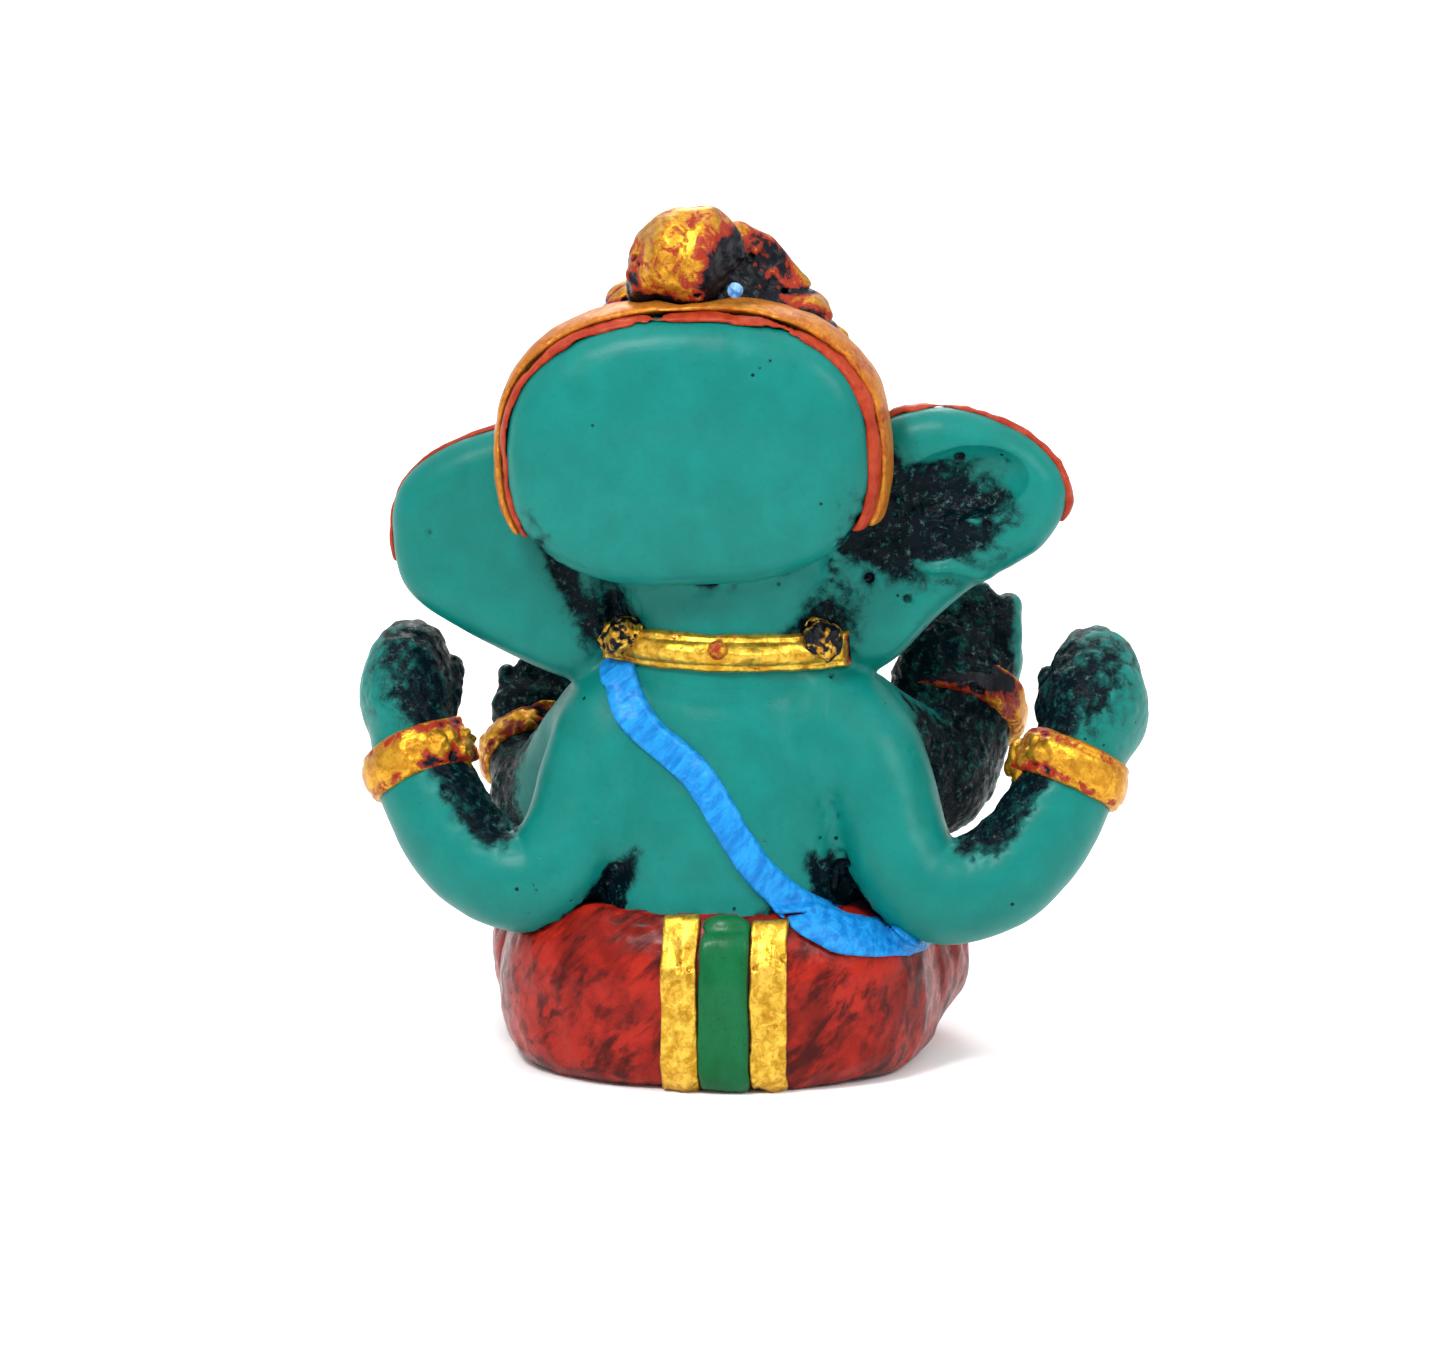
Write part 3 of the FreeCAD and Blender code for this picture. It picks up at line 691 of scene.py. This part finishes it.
def skin_wash_and_shade(block, base):
    """Where the skin is painted dark: darker on the inner sides of the rear forearms and hands, and painted
    shade on the backs of the front arms, in the creases where the rear arms leave the back, in the ears'
    hollows and beside the neck under the head.
    """
    toward_x, toward_y, toward_z = np.gradient(base, block.voxel)
    x, y, z = block.x, block.y, block.z
    wash_and_shade = np.zeros(block.count, np.float32)
    for side in (1, -1):
        inner = step(0.10, 0.70, -side * toward_x + 0.55 * toward_z)
        beyond = step(-4.0, 1.0, side * (x - ELBOWS[side]))
        wash_and_shade += 0.72 * inner * beyond * step(12.5, 15.0, z) * step(26.5, 24.5, z) * step(-2.0, 0.0, y)
        middle, half_width = REAR_HANDS[side]
        inward = -side * (x - middle) / half_width + 0.35 * (z - 27.0) / 4
        reach = near(block, (middle, 0.0, 27.6), (half_width + 2.6, 9.0, 5.0))
        wash_and_shade += (0.30 + 0.40 * step(-0.9, 0.4, inward)) * step(0.25, 0.6, reach)
        # Painted shade in the crease where the rear arm leaves the back.
        crease = np.exp(-(arm_crease(block, side) / 1.4) ** 2)
        wash_and_shade += 0.62 * crease * step(5.0, 7.5, y) * step(18.5, 13.5, z)
    # Painted shade on the backs of the front arms, which lie behind the rear arms and the body.
    behind = step(-0.5, 0.3, toward_y)
    far_right = step(-9.5, -11.5, x) * step(-21.5, -20.0, x) * step(4.5, 1.5, y + 0.30 * (z - 20))
    wash_and_shade += 0.72 * behind * far_right * step(35, 33, z)
    far_left = step(9.8, 11.8, x) * step(20.0, 18.8, x) * step(0.0, -2.5, y)
    wash_and_shade += 0.72 * behind * far_left * step(35, 33, z)
    # Painted shade in the hollows behind the ears.
    cup = np.exp(-((x + 14.0) / 6.4) ** 2 - ((z - 40.4 + 0.12 * (x + 14)) / 4.2) ** 2) * step(1.6, 3.4, y)
    wash_and_shade += 0.66 * cup * step(-8.2, -9.6, x)
    fold = np.exp(-((x - 11.6 - 0.3 * (z - 38)) / 1.6) ** 2 - ((z - 38.4) / 4.4) ** 2) * step(1.6, 3.4, y)
    wash_and_shade += 0.50 * fold
    # Painted shade beside the neck, under the head.
    aside = np.exp(-((np.abs(x + 0.2) - 7.9) / 2.7) ** 2 - ((z - 32.8) / 3.0) ** 2)
    wash_and_shade += 0.74 * aside * step(-0.5, 1.5, y)
    return np.clip(wash_and_shade, 0, 0.78)


def body_shape(block):
    """The whole body's surface near a block, before grooves, grit and pits."""
    base = melted(block, SKIN)
    for side, (x, half_width) in REAR_HANDS.items():
        palm = lump(block, (x + side * 0.1, 1.6, 26.4), (half_width, 4.0, 4.6))
        base = smooth_min(base, palm, 0.9)
    # The far right arm and hand are cast as one broad mass behind the raised palm and fingers
    base = smooth_min(base, lump(block, (-15.8, -7.6, 23.6), (4.6, 2.9, 7.4)), 1.6)
    base = smooth_min(base, lump(block, (-17.2, -9.0, 29.6), (3.9, 1.5, 3.6)), 0.9)
    for centre, radii in EAR_HOLLOWS:
        base = smooth_max(base, -lump(block, centre, radii), 0.8)
    return base + 0.10 * block.noise(3.4, 11) + 0.03 * block.noise(1.1, 12)


def finger_gaps(block, field):
    """Grooves between the fingers of the raised rear hands."""
    for x, half_width in REAR_HANDS.values():
        for offset in (-0.5, 0.02, 0.52):
            along = block.x - (x + offset * half_width + 0.12 * (block.z - 27))
            upper = step(26.5, 29.0, block.z + 0.25 * np.abs(block.y)) * step(0.4, -1.2, block.y)
            upper = upper * (np.abs(block.x - x) < half_width + 1)
            field = field + 0.42 * np.exp(-(along / 0.34) ** 2) * upper
    return field


def ear_backs(block, field):
    """A rough cup and a ridge behind the right ear, a fold behind the left."""
    cup = near(block, EAR_CUP, (5.0, 4.0, 3.4))
    field = field + cup * (0.55 + 0.50 * block.noise(1.7, 21, (1.6, 1, 0.8)) + 0.26 * block.noise(0.7, 22))
    ridge = block.z - 37.4 - 0.34 * (block.x + 15.5) + 0.4 * block.noise(2.2, 23)
    field = field - 0.5 * np.exp(-(ridge / 0.5) ** 2) * near(block, (-16.4, 5.0, 37.4), (3.6, 3.0, 3.0))
    fold = (block.x - 11.6 - 0.35 * (block.z - 38)) / 0.9
    return field + 0.5 * np.exp(-fold ** 2) * near(block, (12.4, 5.0, 39.0), (4.0, 3.0, 5.5))


def arm_creases(block, field):
    """A crease where each rear arm leaves the back."""
    for side, x in ARM_CREASES.items():
        depth = near(block, (x + side * 0.6, 9.0, 13.6), (4.5, 6.0, 4.2))
        field = field + 0.40 * np.exp(-(arm_crease(block, side) / 1.1) ** 2) * depth
    return field


def front_details(block, field):
    """Wrinkles round the trunk, lids and bags at the eyes, and a navel."""
    ring = np.sin(2 * math.pi * (block.z + 0.12 * (block.y + 12)) / 1.75 + 1.2 * block.noise(3.0, 31))
    front = step(-9.2, -10.6, block.y) * step(25.0, 27.0, block.z) * step(44.0, 41.0, block.z)
    field = field + 0.16 * np.maximum(ring, -0.3) ** 2 * front * near(block, (1.4, -14, 35), (6, 9, 14))
    for x, z in EYES:
        lid = lump(block, (x, -8.5, z + 0.75), (2.2, 1.35, 0.75))
        bag = lump(block, (x, -8.4, z - 1.15), (2.0, 1.2, 0.5))
        field = smooth_min(smooth_min(field, lid, 0.5), bag, 0.5)
    navel = lump(block, (-0.4, -13.9, 17.6), (0.7, 1.2, 0.6))
    return smooth_max(field, -navel, 0.5)


def skin_field(block):
    """The whole body's surface near a block, before and after grooves, grit and pits, and its dark wash and
    painted shade.
    """
    base = body_shape(block)
    wash_and_shade = skin_wash_and_shade(block, base)
    enclosed = step(0.52, 0.72, block.sample_map(WIDE, WORLD))
    gritty = np.maximum(enclosed * 0.8, wash_and_shade)
    field = base + gritty * (0.15 * block.noise(0.85, 13) + 0.15 * block.noise(0.40, 14) + 0.03)
    for carve in (finger_gaps, ear_backs, arm_creases, front_details):
        field = carve(block, field)
    field = bubbles(block, field, 41, 3600, (-31, -18, 8), (26, 14, 57), 0.15)
    field = bubbles(block, field, 42, 160, (-22, 3, 34), (-9, 8, 46), 0.26)
    return base, field, wash_and_shade


def cloth_field(block):
    """The wrapped hips and legs, with folds, pleats and a raised hem."""
    base = melted(block, CLOTH)
    base = base + 0.17 * block.noise(3.4, 51) + 0.07 * block.noise(1.2, 52)
    folds = block.noise(1.5, 53, (1.0, 1.0, 3.2))
    field = base + 0.05 * folds + 0.03 * block.noise(0.5, 54)
    # Pleats of the cloth over the crossed legs
    for side in (1, -1):
        swing = (block.y + 14.0) * 0.9 + side * block.x * 0.45 + 0.5 * block.noise(3.0, 55)
        wave = np.maximum(np.sin(2 * math.pi * swing / 2.3), -0.2)
        top = step(4.5, 8.0, block.z) * step(3.0, 0.0, block.y) * step(0, 3, side * block.x)
        field = field + 0.20 * wave * top
    # The hem stands up a little round the waist
    hem = np.exp(-((block.z - WAIST_Z) / 0.5) ** 2) * step(4.0, 7.0, block.y)
    field = field - 0.22 * hem * step(4.4, 5.4, np.abs(block.x - PANEL_X))
    field = bubbles(block, field, 56, 1500, (-18, -17, 0), (18, 16, 13), 0.16)
    return base, field, None


# Rows pressed round the cap: height, number of leaves, depth; and the lines below them
LEAF_ROWS = ((54.0, 22, 0.42), (56.2, 18, 0.38), (58.2, 14, 0.32))
CROWN_LINES = (53.0, 55.1, 57.2)
CROWN_SHOULDERS = (((6.2, 2.0, 54.2), (2.3, 3.0, 2.6)), ((-5.6, 2.0, 53.8), (2.9, 3.0, 3.2)))  # centre, radii


def crown_field(block):
    """The cap, its ridge and the knot on top, with flutes, leaves, a dark hollow, and painted shade in its
    grooves and hollows.
    """
    base = melted(block, CROWN)
    for centre, radii in CROWN_SHOULDERS:
        base = smooth_min(base, lump(block, centre, radii), 1.5)
    base = base + 0.16 * block.noise(2.0, 61) + 0.08 * block.noise(0.9, 62)
    wash_and_shade = np.zeros(block.count, np.float32)
    # Flutes down the knot behind, rows of leaves pressed round the cap
    angle = np.arctan2(block.y + 0.6, block.x - 1.2)
    rows = block.z - 0.05 * (block.x - 1.4)
    fore = step(4.4, 2.6, block.y)
    flute = np.sin((block.x - 1.2) * 1.7 + 0.25 * (block.z - 60) + 0.8 * block.noise(2.0, 65))
    base = base + 0.24 * flute * near(block, (2.0, 9.0, 60.0), (4.0, 3.5, 3.6))
    field = base
    for height, number, depth in LEAF_ROWS:
        leaf = np.abs(np.sin(angle * number / 2 + 0.6 * height))
        band = np.exp(-((rows - height) / 0.62) ** 2)
        field = field + depth * band * (0.35 - leaf) * fore
    # Sunk lines below the rows, darkened with painted shade.
    for height in CROWN_LINES:
        line = np.exp(-((rows - height) / 0.22) ** 2) * fore
        field = field + 0.30 * line
        wash_and_shade += 0.5 * line
    # A sunk hollow beside the knot holds the jewel. Painted shade turns it black, and darkens the cap beside
    # the knot and towards the bottom at the back.
    hollow = near(block, (-1.6, 8.6, 58.4), (1.5, 2.6, 2.4))
    field = field + 0.9 * hollow
    wash_and_shade += 0.9 * hollow + 0.8 * near(block, (-3.4, 5.5, 58.6), (2.4, 3.6, 2.8))
    wash_and_shade += 0.55 * near(block, (5.8, 6.0, 57.8), (1.6, 3.0, 2.2))
    wash_and_shade += 0.42 * step(56.6, 55.4, block.z) * step(1.0, 2.6, block.y)
    rough = step(0.15, 0.6, wash_and_shade) + 0.25
    field = field + rough * (0.16 * block.noise(0.8, 66) + 0.12 * block.noise(0.4, 63))
    field = smooth_max(field, -lump(block, (-1.9, 10.2, 58.2), (1.5, 1.8, 1.4)), 0.5)
    field = bubbles(block, field, 64, 1500, (-10, -11, 50), (13, 11, 64), 0.24)
    return base, field, np.clip(wash_and_shade, 0, 1)


def feet_field(block):
    """Both feet, with four gaps between the toes of each."""
    base = melted(block, FEET) + 0.06 * block.noise(1.6, 71)
    field = base
    toe_pitch = 0.88
    for side in (1, -1):
        for k in range(1, 5):
            gap = (block.z - 0.8 - toe_pitch * k) / 0.16
            field = field + 0.24 * np.exp(-gap ** 2) * step(-18.2, -19.2, block.y) * (side * block.x > 0)
    return base, field, None


def sculpt_group(group, sculptor, material, voxel=VOXEL, straight=()):
    """One mesh for each piece of a melted group. A node of straight keeps its flat underside at z = 0."""
    for node in group:
        block = Block(*BOXES[node], voxel, FRONT_MARGIN if node.startswith("front") else MARGIN)
        base, field, wash_and_shade = sculptor(block)
        field = cut_from(block, field, share(block, group, node))
        if node in straight:
            field = np.maximum(field, -block.z)
        make_piece(node, block, field, base, material, wash_and_shade)


# Bands and trims

def sash_piece(material):
    """A flat brushed band that follows the body it crosses, behind and in front."""
    node = "sacred_sash"
    thickness, reach = 0.44, 1.3
    block = Block(*BOXES[node], VOXEL)
    body = smooth_min(body_shape(block), melted(block, CLOTH), 0.4)
    distance = block.distance(node)
    behind = block.y > 0
    reach_behind = np.where(behind, distance, BAND).min(axis=1, keepdims=True)
    reach_front = np.where(behind, BAND, distance).min(axis=1, keepdims=True)
    limit = np.where(behind, reach_behind, reach_front)
    limit = limit + 0.10 * block.noise(1.6, 81) - 0.30 * step(24.0, 30.0, block.z)
    strands = block.noise(0.42, 82, (2.2, 2.2, 1.0))
    height = thickness + 0.08 * strands + 0.10 * np.exp(-((limit + 0.35) / 0.25) ** 2)
    base = np.maximum(smooth_max(body - thickness, limit, 0.3), distance - reach)
    field = smooth_max(body - height, limit, 0.3)
    field = np.maximum(np.maximum(field, distance - reach), -(body + SHELL))
    make_piece(node, block, field, base, material)


def ring_place(block, node):
    """Distance along a ring's axis, and out from it."""
    points = MESHES[node][0]
    centre = (points.min(0) + points.max(0)) / 2
    _, vectors = np.linalg.eigh(np.cov((points - points.mean(0)).T))
    axis, u = vectors[:, 0], vectors[:, 1]
    if axis[2] < 0:
        axis = -axis
    v = np.cross(axis, u)

    def along(direction):
        parts = ((block.x - centre[0]) * direction[0], (block.y - centre[1]) * direction[1])
        return parts[0] + parts[1] + (block.z - centre[2]) * direction[2]

    return along(axis), np.sqrt(along(u) ** 2 + along(v) ** 2)


def ring_piece(node, half_width, height, material, seed, rough_at=None, knobs=()):
    """A raised band round an arm or the neck, rounded across.

    rough_at is a place and a radius in mm where it is rough and dark; each of knobs is a place and a radius.
    """
    low, high = BOXES[node]
    block = Block(low - 1.0, high + 1.0, FINE)
    body = body_shape(block)
    along, out = ring_place(block, node)
    outer = float(np.linalg.norm((high - low) / 2)) * 0.80
    edge = np.abs(along + 0.14 * block.noise(1.8, seed)) - half_width
    profile = height * (1.0 - 0.5 * (along / half_width) ** 2)
    profile = profile - 0.10 * np.exp(-((np.abs(along) - half_width * 0.66) / 0.16) ** 2)
    profile = profile + 0.10 * block.noise(1.5, seed + 1)
    wash_and_shade = np.zeros(block.count, np.float32)
    if rough_at is not None:
        wash_and_shade = near(block, rough_at[:3], (rough_at[3],) * 3).astype(np.float32)
        profile = profile + wash_and_shade * (0.55 * block.noise(0.9, seed + 2) + 0.25 * block.noise(0.45, seed + 3))
    base = smooth_max(body - height * 0.8, edge, 0.35)
    field = smooth_max(body - profile, edge, 0.35)
    for k, (x, y, z, radius) in enumerate(knobs):
        knob = lump(block, (x, y, z), (radius, radius, radius))
        field = smooth_min(field, knob + 0.16 * block.noise(0.5, seed + 4 + k), 0.25)
    field = np.maximum(np.maximum(field, out - outer), -(body + SHELL))
    make_piece(node, block, field, base, material, 0.36 * wash_and_shade)


def softened_piece(node, material, passes, voxel, lumps, size, seed, shape=None,
                   grow=0.0, floor=False, wash_and_shade=0.0):
    """A CAD piece with its edges rounded in that many passes and its surface worked.

    lumps is how high the surface waves and size how long the waves are, in mm. shape adds carving to the
    field, grow makes the piece fuller, and floor keeps it flat underneath.
    """
    block = Block(*BOXES[node], voxel)
    base = soften(block.distance(node), passes) - grow + lumps * block.noise(size, 100 + seed)
    field = base + lumps * 0.5 * block.noise(size * 0.4, 101 + seed)
    if shape is not None:
        field = shape(block, field)
    if floor:
        field = np.maximum(field, -block.z)
    washed = np.full(block.count, wash_and_shade, np.float32)
    make_piece(node, block, field, base, material, washed)


def border_shape(middle, seed):
    """Carving for a border strip: a long ridge down it, a groove beside the ridge, and pits."""
    def shape(block, field):
        across = block.x - middle - 0.10 * block.noise(3.0, seed)
        ridge = np.exp(-((across + 0.35) / 0.45) ** 2) * step(12.2, 11.0, block.z)
        groove = np.exp(-((across - 0.75) / 0.22) ** 2) * step(12.4, 11.4, block.z)
        field = field - 0.22 * ridge + 0.05 * groove
        return bubbles(block, field, seed, 160, (middle - 1.5, 13, 0), (middle + 1.5, 17, 13), 0.16)
    return shape


def panel_shape(block, field):
    """Reaches up to the hem with a rounded end."""
    return smooth_min(field, lump(block, (PANEL_X, 12.8, 12.1), (1.8, 0.9, 0.9)), 0.5)


def rim_shape(block, field):
    """Pits along the smooth lip."""
    return bubbles(block, field, 92, 500, (-14, 4, 39), (17, 11, 58), 0.18)


def lining_shape(block, field):
    """A little fuller at the figure's right than everywhere else."""
    return field + 0.12 * step(-10.8, -8.0, block.x) - 0.12


def ear_rim_shape(block, field):
    """Thins out towards the head."""
    return field + 0.16 * step(-21.5, -15.0, block.x)


def modak_shape(block, field):
    """Pleats that run up to the tip."""
    angle = np.arctan2(block.y + 15.4, block.x - 14.4)
    return field + 0.18 * np.abs(np.sin(angle * 6)) * step(26.4, 24.8, block.z)


# Everything on the figure

teal = skin_paint()
red = cloth_paint()
gold = gold_paint()
worn_gold = gold_paint("worn_gold_paint", 0.62)
black_gold = gold_paint("black_gold_paint", 0.56, (GOLD, YELLOW_GOLD_PALE), BLACK_WASH_AND_SHADE)
bright_gold = gold_paint("bright_gold_paint", 0.36, (YELLOW_GOLD, YELLOW_GOLD_PALE))
rim = rim_paint()
green = flat_paint("green_paint", GREEN, GREEN_LIGHT, GREEN_DEEP, 1.8, 0.04, 0.28, (1, 1, 0.4))
blue = flat_paint("blue_paint", BLUE, BLUE_PALE, BLUE_DEEP, 0.6, 0.12, 0.30, (1.0, 1.0, 0.22), 0.68)
lip = flat_paint("lip_paint", ORANGE_RED, LIP_RED, MAROON, 1.0)
ivory = flat_paint("ivory_paint", CREAM, CREAM_PALE, CREAM_DEEP, 1.2)
jewel = flat_paint("jewel_paint", GLASS_BLUE, GLASS_BLUE_PALE, BLUE_DEEP, 0.5, 0.02, 0.12)

sculpt_group(SKIN, skin_field, teal)
sculpt_group(CLOTH, cloth_field, red, COARSE, ("seat",))
sculpt_group(CROWN, crown_field, worn_gold, voxel=0.15)
sculpt_group(FEET, feet_field, teal, voxel=FINE)

sash_piece(blue)
ring_piece("necklace", 1.35, 0.72, bright_gold, 200)
ring_piece(
    "rear_bangle_left", 1.7, 0.75, gold, 210,
    rough_at=(18.8, 4.6, 22.4, 3.8),
    knobs=((18.7, 4.4, 23.0, 0.9), (18.6, 5.0, 21.8, 0.8), (19.6, 5.8, 22.6, 0.7)),
)
ring_piece(
    "rear_bangle_right", 1.7, 0.75, gold, 220,
    rough_at=(-22.6, 4.6, 22.4, 3.4),
    knobs=(
        (-22.2, 4.0, 23.4, 1.1), (-22.5, 4.8, 22.0, 1.1), (-21.7, 3.8, 22.4, 0.9), (-23.4, 5.0, 23.2, 0.9),
    ),
)
ring_piece("front_bangle_left", 1.3, 0.70, gold, 230, (14.0, -8.0, 19.6, 4.4))
ring_piece("front_bangle_right", 1.5, 0.70, gold, 240, (-15.4, -5.0, 24.6, 5.0))
for k, node in enumerate(("anklet_left", "anklet_right", "pendant")):
    softened_piece(node, gold, 1, FINE, 0.14, 0.8, 10 * k, grow=0.1)
for k, node in enumerate(("necklace_knot_left", "necklace_knot_right")):
    softened_piece(node, black_gold, 1, FINE, 0.34, 0.7, 40 + 10 * k, grow=0.1, wash_and_shade=0.2)
softened_piece("necklace_bead", gold, 0, 0.08, 0.05, 0.6, 61, grow=0.12, wash_and_shade=0.2)
softened_piece("back_panel", green, 2, VOXEL, 0.08, 2.4, 62, panel_shape, floor=True)
for k, (node, middle) in enumerate((("back_border_left", 1.6), ("back_border_right", -4.7))):
    shape = border_shape(middle, 301 + k)
    softened_piece(node, bright_gold, 2, FINE, 0.08, 2.2, 63 + k, shape, floor=True)
softened_piece("head_rim", rim, 3, VOXEL, 0.12, 2.6, 65, rim_shape)
softened_piece("head_rim_lining", lip, 1, VOXEL, 0.10, 1.8, 66, lining_shape)
softened_piece("ear_rim_left", lip, 1, FINE, 0.10, 1.6, 67, grow=0.12)
softened_piece("ear_rim_right", lip, 1, FINE, 0.16, 1.6, 68, ear_rim_shape, grow=0.25)
softened_piece("forehead_mark", lip, 0, FINE, 0.04, 0.8, 70)
softened_piece("modak", ivory, 1, FINE, 0.08, 1.0, 71, modak_shape)
softened_piece("tusk_left", ivory, 1, FINE, 0.04, 1.0, 72)
softened_piece("tusk_right", ivory, 1, FINE, 0.06, 0.7, 73)
softened_piece("crown_jewel", jewel, 0, 0.08, 0.05, 0.5, 74, grow=-0.2)
softened_piece("crown_front_jewel", jewel, 0, FINE, 0.05, 0.9, 75)
for node in ("eye_left", "eye_right"):
    low, high = BOXES[node]
    centre = ((low + high) / 2 * MM).tolist()
    centre[1] = float(low[1]) * MM
    softened_piece(node, eye_paint(centre, 0.0016), 0, 0.08, 0.0, 1.0, 76)


# Stage, light and camera

def plain_material(name, base, roughness):
    """A flat colour, for the floor."""
    material = bpy.data.materials.new(name)
    material.use_nodes = True
    shader = material.node_tree.nodes["Principled BSDF"]
    shader.inputs["Base Color"].default_value = (*base, 1)
    shader.inputs["Roughness"].default_value = roughness
    return material


def add_floor():
    """A plain pale floor, 4.8 m square."""
    half = 2.4
    mesh = bpy.data.meshes.new("floor")
    corners = [(-half, -half, 0), (half, -half, 0), (half, half, 0), (-half, half, 0)]
    mesh.from_pydata(corners, [], [(0, 1, 2, 3)])
    mesh.materials.append(plain_material("floor_white", FLOOR_WHITE, 0.7))
    floor = bpy.data.objects.new("floor", mesh)
    bpy.context.scene.collection.objects.link(floor)


def add_light(name, azimuth, elevation, distance, size, watts):
    """A square soft light aimed at the figure's chest. Azimuth 0 is behind the figure, degrees towards +X."""
    a, e = math.radians(azimuth), math.radians(elevation)
    lamp = bpy.data.lights.new(name, "AREA")
    lamp.size = size
    lamp.energy = watts
    target = Vector((0, 0, 0.03))
    place = target + distance * Vector((math.sin(a) * math.cos(e), math.cos(a) * math.cos(e), math.sin(e)))
    light = bpy.data.objects.new(name, lamp)
    light.location = place
    light.rotation_euler = (target - place).to_track_quat("-Z", "Y").to_euler()
    bpy.context.scene.collection.objects.link(light)


def add_camera():
    """The main view: from behind, six degrees to the figure's right and twelve above."""
    a, e = math.radians(6), math.radians(12)
    distance = 0.9
    width = 0.10505  # m that the frame is wide at the figure
    sensor = 36  # mm
    target = Vector((0, 0, 0.02806))
    place = target + distance * Vector((-math.sin(a) * math.cos(e), math.cos(a) * math.cos(e), math.sin(e)))
    camera = bpy.data.cameras.new("camera")
    camera.sensor_width = sensor
    camera.lens = sensor * distance / width
    camera.clip_end = 10
    holder = bpy.data.objects.new("camera", camera)
    holder.location = place
    holder.rotation_euler = (target - place).to_track_quat("-Z", "Y").to_euler()
    bpy.context.scene.collection.objects.link(holder)
    bpy.context.scene.camera = holder


add_floor()
add_light("key", 25, 48, 0.45, 0.09, 1.5)
add_light("fill", -55, 35, 0.45, 0.12, 0.7)
add_light("far", 170, 35, 0.50, 0.20, 0.9)
add_light("ceiling", 0, 89, 1.0, 1.6, 6.0)
world = bpy.data.worlds.new("world")
world.use_nodes = True
world.node_tree.nodes["Background"].inputs["Color"].default_value = (1, 1, 1, 1)
world.node_tree.nodes["Background"].inputs["Strength"].default_value = 0.92
bpy.context.scene.world = world
bpy.context.scene.view_settings.view_transform = "Standard"
add_camera()
